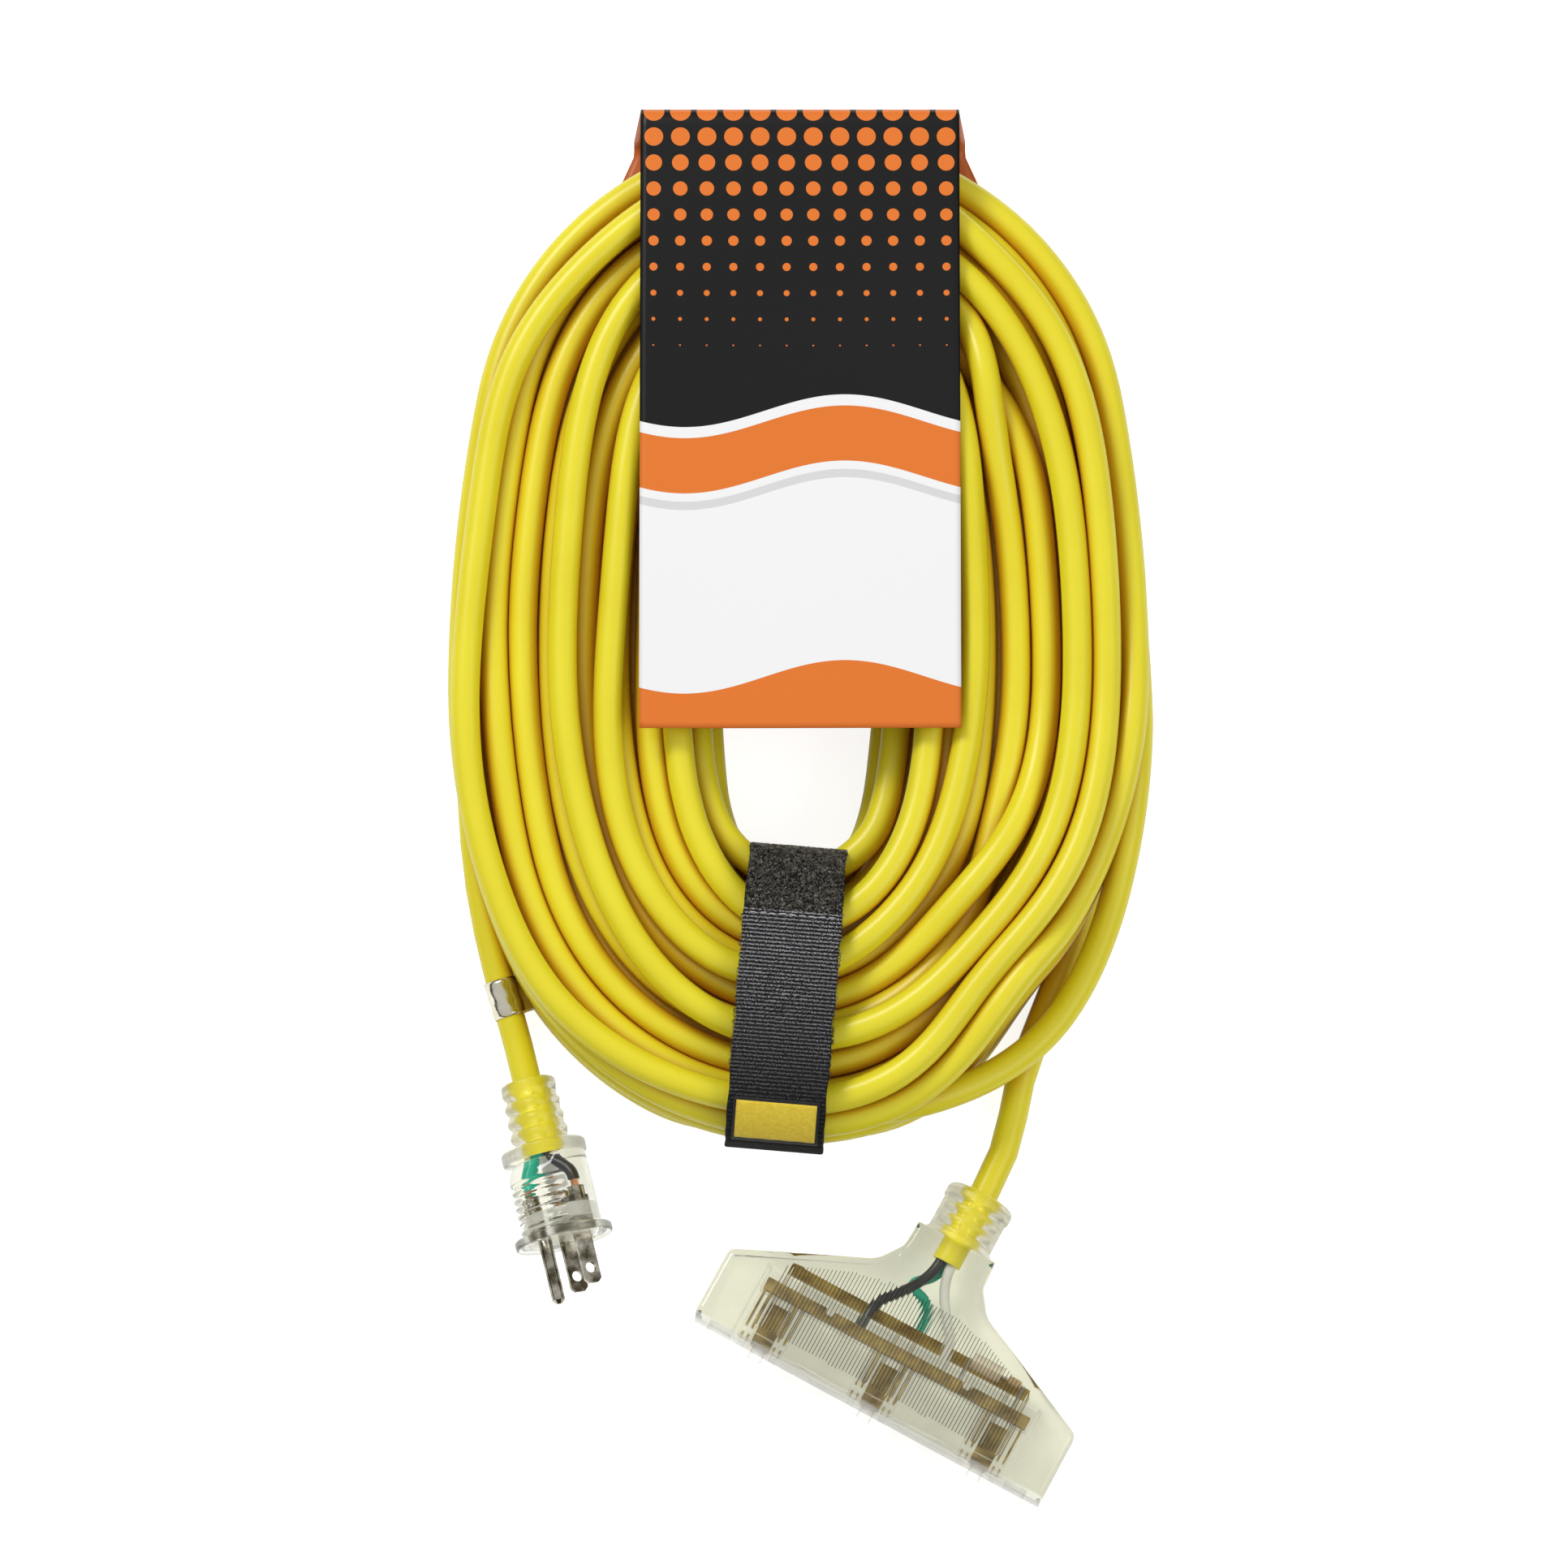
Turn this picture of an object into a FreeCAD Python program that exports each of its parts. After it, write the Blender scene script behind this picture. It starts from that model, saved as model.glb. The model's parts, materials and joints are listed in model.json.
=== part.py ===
"""Extension cord: a long three-conductor cord in an oval coil, with a moulded plug, a three-way outlet block,
a hook-and-loop strap and a folded card sleeve.

Frame: millimetres, Z up. The coil lies flat, its long way along Y, with the strap and both cord ends towards -Y.
The origin is under the middle of the coil, on the underside of the sleeve's back panel.
"""
import FreeCAD, Part
import math
import os
import re

import Sketcher

V = FreeCAD.Vector
UP = V(0, 0, 1)
doc = FreeCAD.newDocument("extension_cord")

# Driving sizes: alias, value in millimetres, degrees or a count, and what it is
SIZES = [
    ("cord_diameter", 10.5, "outer diameter of the cord's jacket"),
    ("facet_reach", 5.5, "corner radius of the cord's six-sided tube"),
    ("wire_diameter", 3.7, "insulated conductor inside the jacket"),
    ("seat_gap", 0.3, "space between pieces that lie on each other"),
    ("cut_margin", 1.0, "how far a cut runs past a surface"),
    ("mould_gap", 0.1, "space round metal and wire inside the clear mouldings"),
    ("coil_half_width", 119.9, "middle of the coil to the outermost strand, sideways"),
    ("coil_half_length", 176.7, "middle of the coil to the outermost strand, lengthways"),
    ("coil_waist", 20.0, "how far below the middle the coil is widest"),
    ("coil_top_radius", 100.0, "bend of the outermost strand at the sleeve's end"),
    ("coil_bottom_radius", 110.0, "bend of the outermost strand at the strap's end"),
    ("bundle_width", 82.0, "innermost to outermost strand, between centres"),
    ("bundle_height", 45.5, "lowest to highest strand, between centres"),
    ("core_gap", 0.7, "space between the core and the strands over it"),
    ("core_side_height", 4.0, "upright side of the core between its bevels"),
    ("start_drop", 24.0, "degrees below the middle of the outer side where the winding starts"),
    ("strap_width", 34.5, "width of the hook-and-loop strap"),
    ("strap_thickness", 2.0, "loop band"),
    ("strap_bend", 20.0, "inner radius of the band round the bundle"),
    ("strap_reach", 9.2, "how far the band's loop reaches past the innermost strand's surface"),
    ("strap_tilt", -4.77, "degrees between the strap and the Y axis"),
    ("strap_shift", -4.8, "X of the strap's middle"),
    ("flap_thickness", 1.8, "hook flap"),
    ("seam_inset", 26.0, "inner end of the band to the flap's seam"),
    ("flap_turn_down", 1.5, "straight stretch of the flap below its bend"),
    ("flap_root_round", 0.85, "rounding of the flap's sewn end"),
    ("label_length", 30.5, "woven label across the strap"),
    ("label_thickness", 0.6, "woven label"),
    ("label_start", 20.0, "degrees round the bend where the label starts"),
    ("label_sweep", 46.0, "degrees of the bend that the label covers"),
    ("stitch_count", 9.0, "stitches across the seam"),
    ("stitch_diameter", 0.5, "thread of the seam"),
    ("stitch_length", 2.1, "each stitch across the seam"),
    ("stitch_setback", 1.5, "seam's edge to the stitches"),
    ("card_width", 114.0, "front panel of the sleeve"),
    ("card_back_width", 133.2, "back panel of the sleeve where it is widest"),
    ("card_flare", 27.0, "length over which the back panel widens"),
    ("card_thickness", 0.8, "folded card"),
    ("card_top", 187.0, "Y of the fold's outer face"),
    ("card_front_length", 225.3, "fold to lower edge of the front panel"),
    ("card_back_length", 205.0, "fold to lower edge of the back panel"),
    ("card_bend", 5.0, "outer radius of both creases"),
    ("relief_length", 24.0, "plug's strain relief"),
    ("relief_radius", 9.0, "strain relief where the cord enters"),
    ("relief_shoulder", 10.8, "strain relief at the rear flange"),
    ("relief_slot", 1.7, "width of each flexing slot"),
    ("relief_slot_depth", 2.4, "depth of each flexing slot"),
    ("relief_slots", 4.0, "flexing slots in the strain relief"),
    ("rear_flange_radius", 15.3, "plug's rear flange"),
    ("rear_flange_length", 5.0, "plug's rear flange"),
    ("grip_radius", 14.6, "plug between its flanges"),
    ("grip_length", 27.0, "plug between its flanges"),
    ("grip_ribs", 7.0, "finger grooves on the earth side of the grip"),
    ("grip_rib_pitch", 2.5, "spacing of the finger grooves"),
    ("grip_rib_depth", 1.1, "depth of the finger grooves"),
    ("face_radius", 17.65, "plug's front flange"),
    ("face_length", 3.3, "plug's front flange"),
    ("plug_back_wall", 2.0, "rear flange's moulding behind the plug's inner space"),
    ("plug_rim", 0.8, "bevel of the plug's flanges"),
    ("plug_wall", 6.3, "moulding in front of the plug's inner space"),
    ("plug_turn", -76.5, "heading of the plug, from +X"),
    ("plug_roll", -25.0, "roll of the plug about its own axis"),
    ("plug_entry_x", -97.3, "where the cord enters the plug"),
    ("plug_entry_y", -158.9, "where the cord enters the plug"),
    ("blade_width", 6.35, "flat blades"),
    ("blade_thickness", 1.5, "flat blades"),
    ("blade_length", 17.5, "flat blades, out of the plug's face"),
    ("blade_root", 14.0, "flat blades, inside the moulding"),
    ("blade_spacing", 12.7, "between the blades' centres"),
    ("blade_offset", 4.3, "blades' middle to the plug's axis"),
    ("blade_chamfer", 1.4, "corners of the blades' tips"),
    ("blade_hole_diameter", 3.9, "hole through each blade"),
    ("blade_hole_setback", 11.9, "plug's face to the holes"),
    ("pin_radius", 2.38, "round earth pin"),
    ("pin_length", 22.0, "earth pin, out of the plug's face"),
    ("pin_root_radius", 2.75, "earth pin and its crimp inside the moulding"),
    ("pin_offset", 11.9, "earth pin to the line between the blades"),
    ("pin_nose", 1.4, "bevel of the earth pin's tip"),
    ("crimp_radius", 2.5, "barrel that grips each wire's copper"),
    ("crimp_length", 5.0, "barrel that grips each wire's copper"),
    ("bridge_rim", 0.45, "insulating bridge outside the holes for the plug's metal"),
    ("bridge_slack", 0.5, "space round the bridge inside the plug"),
    ("bridge_length", 5.0, "insulating bridge"),
    ("jacket_in_plug", 27.0, "cord jacket inside the plug"),
    ("copper_radius", 1.25, "stripped copper of each wire"),
    ("copper_length", 2.5, "stripped copper of each wire"),
    ("block_x", 22.1, "middle of the block's outlet face"),
    ("block_y", -279.0, "middle of the block's outlet face"),
    ("block_turn", -28.5, "heading of the block's long way, from +X"),
    ("block_margin", 6.0, "outlet block beside its outlet face"),
    ("block_side", 29.0, "outlet face to the block's shoulder"),
    ("block_half_height", 17.0, "block at its outlet face"),
    ("block_throat", 22.0, "half width where the sloping edge meets the neck"),
    ("block_throat_depth", 51.0, "outlet face to the throat"),
    ("neck_half_width", 15.8, "neck of the block"),
    ("neck_start", 60.0, "outlet face to the neck"),
    ("neck_end", 70.0, "outlet face to the neck's shoulder"),
    ("collar_radius", 12.7, "round collar where the cord enters"),
    ("collar_end", 90.0, "outlet face to the collar's end"),
    ("collar_slots", 4.0, "flexing slots round the collar"),
    ("block_edge", 2.0, "bevel of the block's long edges"),
    ("block_corner", 3.0, "rounding of the block's and neck's shoulders"),
    ("throat_round", 10.0, "hollow between the sloping edge and the neck"),
    ("collar_slot", 1.8, "width of each flexing slot in the collar"),
    ("collar_slot_depth", 5.5, "depth of each flexing slot in the collar"),
    ("face_margin", 8.5, "raised outlet face beside the insert"),
    ("face_height", 27.0, "raised outlet face"),
    ("face_proud", 3.5, "how far the outlet face stands out"),
    ("carrier_margin", 0.95, "space beside the bus bars in the insert's back pocket"),
    ("carrier_height", 26.0, "insert that carries the contacts"),
    ("carrier_depth", 31.0, "outlet face to the insert's back edge"),
    ("carrier_floor", 22.0, "outlet face to the floor of the insert's back pocket"),
    ("carrier_wall", 1.5, "walls of the insert's back pocket"),
    ("chamber_margin", 0.5, "wire space beside the earth bar"),
    ("chamber_half_height", 11.4, "wire space behind the insert"),
    ("chamber_side", 37.0, "outlet face to where the wire space narrows"),
    ("chamber_wall", 5.0, "moulding beside the wire space at the throat"),
    ("chamber_neck", 7.9, "half width of the wire space at the jacket's end"),
    ("outlet_pitch", 44.0, "between the outlets' centres"),
    ("outlet_count", 3.0, "outlets in the face"),
    ("slot_rise", 4.6, "blade slots above the face's middle line"),
    ("hot_slot_length", 7.2, "shorter blade slot"),
    ("neutral_slot_length", 8.6, "longer blade slot"),
    ("slot_width", 2.2, "blade slots"),
    ("earth_hole_radius", 2.7, "round earth hole"),
    ("face_skin", 6.0, "wall of the outlet face in front of the contacts"),
    ("contact_height", 6.8, "spring leaves of each contact"),
    ("contact_sheet", 0.8, "brass of the contacts and bus bars"),
    ("contact_front", 8.0, "outlet face to the tips of the spring leaves"),
    ("bar_width", 4.5, "bus bars"),
    ("bar_step", 0.7, "space between one bus bar and the other's leaves"),
    ("earth_clip", 7.4, "outer size of each earth clip"),
    ("earth_clip_bore", 2.8, "radius of the earth clips' bore"),
    ("earth_clip_end", 20.0, "outlet face to the back of the earth clips"),
    ("earth_bar_depth", 32.0, "outlet face to the earth bar"),
    ("wire_landing", 15.8, "block's middle to where the black and white wires meet their bars"),
    ("earth_landing", 3.1, "block's middle to where the green wire meets its bar"),
    ("wire_run", 9.2, "straight stretch of each wire before its bar"),
    ("locator_radius", 1.75, "round pins that locate the bus bars"),
    ("locator_offset", 27.4, "locating pins from the block's middle"),
    ("locator_depth", 26.3, "outlet face to the locating pins"),
    ("jacket_in_block", 28.0, "cord jacket inside the collar"),
    ("lamp_radius", 3.0, "indicator lamp"),
    ("lamp_length", 11.0, "indicator lamp"),
    ("lamp_depth", 35.5, "outlet face to the indicator lamp"),
    ("lamp_offset", 3.0, "middle between two outlets to the indicator lamp's near end"),
    ("resistor_length", 5.0, "lamp's resistor"),
    ("resistor_radius", 1.5, "lamp's resistor"),
    ("lead_length", 2.8, "lead between the lamp and its resistor"),
    ("lead_radius", 0.45, "lamp's leads"),
    ("tag_length", 13.6, "foil tag along the cord"),
    ("tag_reach", 14.0, "flag of the foil tag"),
    ("tag_thickness", 0.4, "foil tag, folded"),
    ("tag_slack", 0.5, "space between the foil tag and the cord's facets"),
]

sheet = doc.addObject("Spreadsheet::Sheet", "sizes")
for row, (alias, value, meaning) in enumerate(SIZES, start=1):
    sheet.set(f"A{row}", meaning)
    sheet.set(f"B{row}", str(value))
    sheet.setAlias(f"B{row}", alias)
doc.recompute()


ALIASES = {alias for alias, value, meaning in SIZES}


def cells(expression):
    """An expression over aliases, with each alias written as a cell of the sheet."""
    return re.sub("[a-z_]+", lambda word: f"sizes.{word[0]}" if word[0] in ALIASES else word[0], str(expression))


def size(expression):
    """The value of an expression over the sheet's aliases."""
    return float(sheet.evalExpression(cells(expression)))


def bind(item, name, expression):
    item.setExpression(name, cells(expression))


# Helpers for sketches and features
PARTS = []


def part_body(label):
    body = doc.addObject("PartDesign::Body", label)
    body.Label = label
    PARTS.append(body)
    return body


def part_shape(label, shape, placement=None):
    """A sub-part whose shape is set directly."""
    feature = doc.addObject("Part::Feature", label)
    feature.Label = label
    feature.Shape = shape
    if placement:
        feature.Placement = placement
    PARTS.append(feature)
    return feature


def sketch_on(body, name, role="XY_Plane", offset=None):
    sketch = body.newObject("Sketcher::SketchObject", name)
    plane = next(item for item in body.Origin.OriginFeatures if item.Role == role)
    sketch.AttachmentSupport = [(plane, "")]
    sketch.MapMode = "FlatFace"
    if offset:
        bind(sketch, "AttachmentOffset.Base.z", offset)
    return sketch


def bind_point(sketch, geometry, point, x, y):
    """Ties a point of a sketch to two expressions over the sheet."""
    for kind, axis, expression in (("DistanceX", -2, x), ("DistanceY", -1, y)):
        value = size(expression)
        name = f"{kind[-1].lower()}{geometry}p{point}"
        index = sketch.addConstraint(Sketcher.Constraint(kind, -1, 1, geometry, point, value))
        sketch.renameConstraint(index, name)
        bind(sketch, f"Constraints.{name}", expression)


def outline(sketch, corners):
    """A closed outline of straight lines through corners given as pairs of expressions."""
    places = [V(size(x), size(y), 0) for x, y in corners]
    first = sketch.GeometryCount
    count = len(places)
    for index in range(count):
        sketch.addGeometry(Part.LineSegment(places[index], places[(index + 1) % count]))
    for index in range(count):
        here, after = first + index, first + (index + 1) % count
        sketch.addConstraint(Sketcher.Constraint("Coincident", here, 2, after, 1))
    for index, (x, y) in enumerate(corners):
        bind_point(sketch, first + index, 1, x, y)


def rectangle(sketch, left, right, low, high):
    outline(sketch, [(left, low), (right, low), (right, high), (left, high)])


def circle(sketch, x, y, radius):
    geometry = sketch.addGeometry(Part.Circle(V(size(x), size(y), 0), V(0, 0, 1), size(radius)))
    bind_point(sketch, geometry, 3, x, y)
    index = sketch.addConstraint(Sketcher.Constraint("Radius", geometry, size(radius)))
    sketch.renameConstraint(index, f"r{geometry}")
    bind(sketch, f"Constraints.r{geometry}", radius)


def feature_from(body, kind, name, sketch):
    feature = body.newObject(f"PartDesign::{kind}", name)
    feature.Profile = sketch
    return feature


def pad(body, name, sketch, length, symmetric=False):
    feature = feature_from(body, "Pad", name, sketch)
    bind(feature, "Length", length)
    feature.SideType = "Symmetric" if symmetric else "One side"
    doc.recompute()
    return feature


def cut(body, name, sketch, length, symmetric=False, forward=False):
    """A pocket, which has to take material away."""
    before = body.Shape.Volume
    feature = feature_from(body, "Pocket", name, sketch)
    bind(feature, "Length", length)
    feature.SideType = "Symmetric" if symmetric else "One side"
    feature.Reversed = forward
    doc.recompute()
    if not body.Shape.Volume < before:
        raise RuntimeError(f"{body.Label}: {name} cuts nothing")
    return feature


def turned(body, kind, name, sketch, axis="H_Axis", angle="360"):
    feature = feature_from(body, kind, name, sketch)
    feature.ReferenceAxis = (sketch, [axis])
    bind(feature, "Angle", angle)
    doc.recompute()
    return feature


def repeated(body, name, feature, sketch, axis, length, count):
    pattern = body.newObject("PartDesign::LinearPattern", name)
    pattern.Originals = [feature]
    pattern.Direction = (sketch, [axis])
    bind(pattern, "Length", length)
    bind(pattern, "Occurrences", count)
    body.Tip = pattern
    doc.recompute()
    if not pattern.isValid():
        raise RuntimeError(f"{body.Label}: {name} fails")
    return pattern


def dress_edges(body, kind, measure, name, amount, wanted):
    """Works the edges of the body's last feature for which wanted(edge) holds."""
    base = body.Tip
    names = [f"Edge{i}" for i, edge in enumerate(base.Shape.Edges, start=1) if wanted(edge)]
    if not names:
        raise RuntimeError(f"{body.Label}: {name} finds no edge")
    feature = body.newObject(f"PartDesign::{kind}", name)
    feature.Base = (base, names)
    bind(feature, measure, amount)
    doc.recompute()
    if not feature.isValid():
        raise RuntimeError(f"{body.Label}: {name} fails")
    return feature


def round_edges(body, name, radius, wanted):
    return dress_edges(body, "Fillet", "Radius", name, radius, wanted)


def bevel_edges(body, name, amount, wanted):
    return dress_edges(body, "Chamfer", "Size", name, amount, wanted)


def runs_along(edge, direction):
    ends = edge.Vertexes
    if len(ends) < 2:
        return False
    span = ends[1].Point - ends[0].Point
    return edge.Curve.TypeId == "Part::GeomLine" and abs(span.dot(direction)) > 0.999 * span.Length


def near(value, target):
    return abs(value - target) < 0.01


# Paths and tubes of the cord and the wires
def arc_edge(start, corner, end):
    """The arc from start to end whose tangents meet at corner. Its radius is kept in radii."""
    middle = (start + end) * 0.5
    half_chord = (end - start).Length / 2
    depth = (corner - middle).Length
    leg = (corner - start).Length
    radius = half_chord * leg / depth
    rise = radius * (1 - half_chord / leg)
    return Part.Arc(start, middle + (corner - middle) * (rise / depth), end).toShape(), radius


def rounded_path(points, share=0.45):
    """Straight runs joined by tangent arcs, each as large as its two runs allow."""
    edges = []
    radii = []
    start = points[0]
    for before, corner, after in zip(points, points[1:], points[2:]):
        reach = share * min((corner - before).Length, (after - corner).Length)
        first = corner + (before - corner).normalize() * reach
        last = corner + (after - corner).normalize() * reach
        edges.append(Part.LineSegment(start, first).toShape())
        edge, radius = arc_edge(first, corner, last)
        edges.append(edge)
        radii.append(radius)
        start = last
    edges.append(Part.LineSegment(start, points[-1]).toShape())
    return Part.Wire(edges), radii


def faceted_ring(centre, normal, reach, sides=6):
    """A closed polygon square to normal, with a flat side on top."""
    up = UP - normal * UP.dot(normal)
    up.normalize()
    across = normal.cross(up)
    angles = [2 * math.pi * (corner + 0.5) / sides for corner in range(sides)]
    corners = [centre + up * (reach * math.cos(a)) + across * (reach * math.sin(a)) for a in angles]
    return Part.makePolygon(corners + corners[:1])


def prism(start, heading, reach, length, sides=6):
    """A straight many-sided rod."""
    return Part.Face(faceted_ring(start, heading, reach, sides)).extrude(heading * length)


def pipe(wire, ring):
    shell = Part.BRepOffsetAPI.MakePipeShell(wire)
    shell.add(ring)
    shell.build()
    shell.makeSolid()
    return shell.shape()


def start_of(wire):
    edge = wire.OrderedEdges[0]
    return edge.valueAt(edge.FirstParameter), edge.tangentAt(edge.FirstParameter)


def cord_tube(name, wire):
    """The six-sided tube along a wire. Its volume has to be its section times its length."""
    centre, heading = start_of(wire)
    ring = faceted_ring(centre, heading, size("facet_reach"))
    solid = pipe(wire, ring)
    expected = Part.Face(ring).Area * wire.Length
    share = solid.Volume / expected
    print(f"{name}: {wire.Length:.0f} mm long, volume {share:.4f} of section times length")
    if abs(share - 1) > 0.01:
        raise RuntimeError(f"{name}: the tube's volume is wrong")
    return solid


def route_tube(name, points):
    wire, radii = rounded_path(points)
    print(f"{name}: radii {', '.join(f'{radius:.0f}' for radius in radii)} mm")
    return cord_tube(name, wire)


# The coil: one strand wound as the outer layer over a plain core
HALF_HEIGHT = size("bundle_height / 2")
SECTION_FLAT = size("bundle_width - bundle_height")
SECTION_QUARTER = math.pi * HALF_HEIGHT / 2
BUNDLE_MIDDLE = size("strap_thickness + seat_gap + cord_diameter / 2 + bundle_height / 2")
WOUND_QUARTERS = 34
CROSSING_QUARTERS = 5
LAST_QUARTERS = 3
CORE_SIDES = 5
TURNS = (WOUND_QUARTERS + CROSSING_QUARTERS + LAST_QUARTERS) / 4


def section_place(distance):
    """Depth inward from the outermost strand, and height, at a distance round the bundle's section.

    The distance starts at the middle of the outer side and goes up, in over the top and down the inner side.
    """
    marks = [SECTION_QUARTER, SECTION_FLAT, 2 * SECTION_QUARTER, SECTION_FLAT]
    stage = 0
    while stage < len(marks) and distance > marks[stage]:
        distance -= marks[stage]
        stage += 1
    angle = distance / HALF_HEIGHT
    if stage == 0:
        depth, height = HALF_HEIGHT * (1 - math.cos(angle)), HALF_HEIGHT * math.sin(angle)
    elif stage == 1:
        depth, height = HALF_HEIGHT + distance, HALF_HEIGHT
    elif stage == 2:
        depth = HALF_HEIGHT * (1 + math.sin(angle)) + SECTION_FLAT
        height = HALF_HEIGHT * math.cos(angle)
    elif stage == 3:
        depth, height = HALF_HEIGHT + SECTION_FLAT - distance, -HALF_HEIGHT
    else:
        depth, height = HALF_HEIGHT * (1 - math.sin(angle)), -HALF_HEIGHT * math.cos(angle)
    return depth, BUNDLE_MIDDLE + height


def winding_places():
    """Depth and height of the strand at every quarter turn."""
    first = -math.radians(size("start_drop")) * HALF_HEIGHT
    inner_side = 2 * SECTION_QUARTER + SECTION_FLAT
    outer_foot = inner_side + SECTION_QUARTER + SECTION_FLAT
    distances = [first + (inner_side - first) * i / WOUND_QUARTERS for i in range(WOUND_QUARTERS + 1)]
    step = (outer_foot - inner_side) / CROSSING_QUARTERS
    distances += [inner_side + step * i for i in range(1, CROSSING_QUARTERS + 1)]
    distances += [outer_foot] * LAST_QUARTERS
    return [section_place(distance) for distance in distances]


def oval_station(index):
    """Place on the outermost oval, outward direction and travel at each quarter turn from the left side."""
    wide, long, waist = size("coil_half_width"), size("coil_half_length"), size("coil_waist")
    return [
        (V(-wide, -waist, 0), V(-1, 0, 0), V(0, 1, 0)),
        (V(0, long, 0), V(0, 1, 0), V(1, 0, 0)),
        (V(wide, -waist, 0), V(1, 0, 0), V(0, -1, 0)),
        (V(0, -long, 0), V(0, -1, 0), V(-1, 0, 0)),
    ][index % 4]


def quarter_bends(index, depth):
    """Radius and angle of the two arcs of a quarter turn, in the order in which they are travelled."""
    end = size("coil_top_radius") if index % 4 < 2 else size("coil_bottom_radius")
    sign = 1 if index % 4 < 2 else -1
    rise = size("coil_half_length") - end + sign * size("coil_waist")
    wide = size("coil_half_width")
    side = (wide ** 2 + rise ** 2 - end ** 2) / (2 * (wide - end))
    side_angle = math.asin(rise / (side - end))
    bends = [(side - depth, side_angle), (end - depth, math.pi / 2 - side_angle)]
    return bends if index % 2 == 0 else bends[::-1]


def quarter_length(index, depth):
    return sum(radius * angle for radius, angle in quarter_bends(index, depth))


def biarc(start, start_heading, end, end_heading, first_leg):
    """Two tangent arcs between two places and headings, the first with the given tangent length."""
    across = end - start
    top = 0.5 * across.dot(across) - first_leg * across.dot(start_heading)
    bottom = across.dot(end_heading) - first_leg * (start_heading.dot(end_heading) - 1)
    last_leg = top / bottom
    first_corner = start + start_heading * first_leg
    last_corner = end - end_heading * last_leg
    share = 1 / (first_leg + last_leg)
    middle = (first_corner * last_leg + last_corner * first_leg) * share
    return arc_edge(start, first_corner, middle), arc_edge(middle, last_corner, end)


def winding():
    """The wire of the wound strand, its least bend, and its two ends with their headings."""
    places = winding_places()
    last = len(places) - 1
    points = []
    for index, (depth, height) in enumerate(places):
        base, outward, travel = oval_station(index)
        points.append(base - outward * depth + UP * height)
    headings = []
    for index in range(last + 1):
        base, outward, travel = oval_station(index)
        before, after = max(index - 1, 0), min(index + 1, last)
        share = 1 / (after - before)
        inward = (places[after][0] - places[before][0]) * share
        upward = (places[after][1] - places[before][1]) * share
        heading = travel * quarter_length(index, places[index][0]) - outward * inward + UP * upward
        headings.append(heading.normalize())
    edges = []
    radii = []
    for index in range(last):
        depth = (places[index][0] + places[index + 1][0]) / 2
        radius, angle = quarter_bends(index, depth)[0]
        first_leg = radius * math.tan(angle / 2)
        for edge, radius in biarc(points[index], headings[index], points[index + 1], headings[index + 1], first_leg):
            edges.append(edge)
            radii.append(radius)
    stub = size("cord_diameter")
    first, final = points[0] - headings[0] * stub, points[-1] + headings[-1] * stub
    edges.insert(0, Part.LineSegment(first, points[0]).toShape())
    edges.append(Part.LineSegment(points[-1], final).toShape())
    return Part.Wire(edges), min(radii), (first, headings[0]), (final, headings[-1])


def least_gap(wire, reach, step=4.0):
    """Least space between stretches of one tube, measured between points along its middle."""
    points = []
    for edge in wire.OrderedEdges:
        count = max(2, int(edge.Length / step))
        span = edge.LastParameter - edge.FirstParameter
        points += [edge.valueAt(edge.FirstParameter + span * i / count) for i in range(count)]
    cell = 4 * reach
    cells = {}
    for index, point in enumerate(points):
        cells.setdefault((int(point.x // cell), int(point.y // cell), int(point.z // cell)), []).append(index)
    apart = int(12 * reach / step)
    least = cell
    for (x, y, z), members in cells.items():
        around = [n for i in (-1, 0, 1) for j in (-1, 0, 1) for k in (-1, 0, 1)
                  for n in cells.get((x + i, y + j, z + k), [])]
        for here in members:
            for other in around:
                if other - here > apart:
                    along = points[other] - points[other - 1]
                    offset = points[here] - points[other]
                    share = max(-1.0, min(0.0, offset.dot(along) / along.dot(along)))
                    least = min(least, (offset - along * share).Length)
    return least - 2 * reach


coil_wire, least_bend, coil_start, coil_end = winding()
print(f"coil: least bend {least_bend:.1f} mm over {TURNS} turns")
print(f"coil: least gap to itself {least_gap(coil_wire, size('facet_reach')):.2f} mm")
part_shape("cord_coil", cord_tube("coil", coil_wire))


def oval_outline(depth, sides):
    """A closed outline of short straight sides along the oval at a depth inward from the outermost strand."""
    corners = []
    for index in range(4):
        start, outward, travel = oval_station(index)
        end, end_outward, end_travel = oval_station(index + 1)
        radius, angle = quarter_bends(index, depth)[0]
        first_leg = radius * math.tan(angle / 2)
        bends = biarc(start - outward * depth, travel, end - end_outward * depth, end_travel, first_leg)
        for edge, bend in bends:
            span = edge.LastParameter - edge.FirstParameter
            corners += [edge.valueAt(edge.FirstParameter + span * i / sides) for i in range(sides)]
    return Part.Face(Part.makePolygon(corners + corners[:1]))


def core_shape():
    """The hidden loops under the outer layer, as one ring with bevelled sides."""
    inset = size("facet_reach + core_gap")
    high = HALF_HEIGHT - inset
    outer = oval_outline(inset, CORE_SIDES)
    inner = oval_outline(size("bundle_width") - inset, CORE_SIDES)
    ring = outer.cut(inner).extrude(UP * (2 * high))
    ring.translate(UP * (BUNDLE_MIDDLE - high))
    rims = [edge for edge in ring.Edges if abs(edge.tangentAt(edge.FirstParameter).z) < 0.5]
    return ring.makeChamfer(high - size("core_side_height / 2"), rims)


part_shape("coil_core", core_shape())

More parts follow.
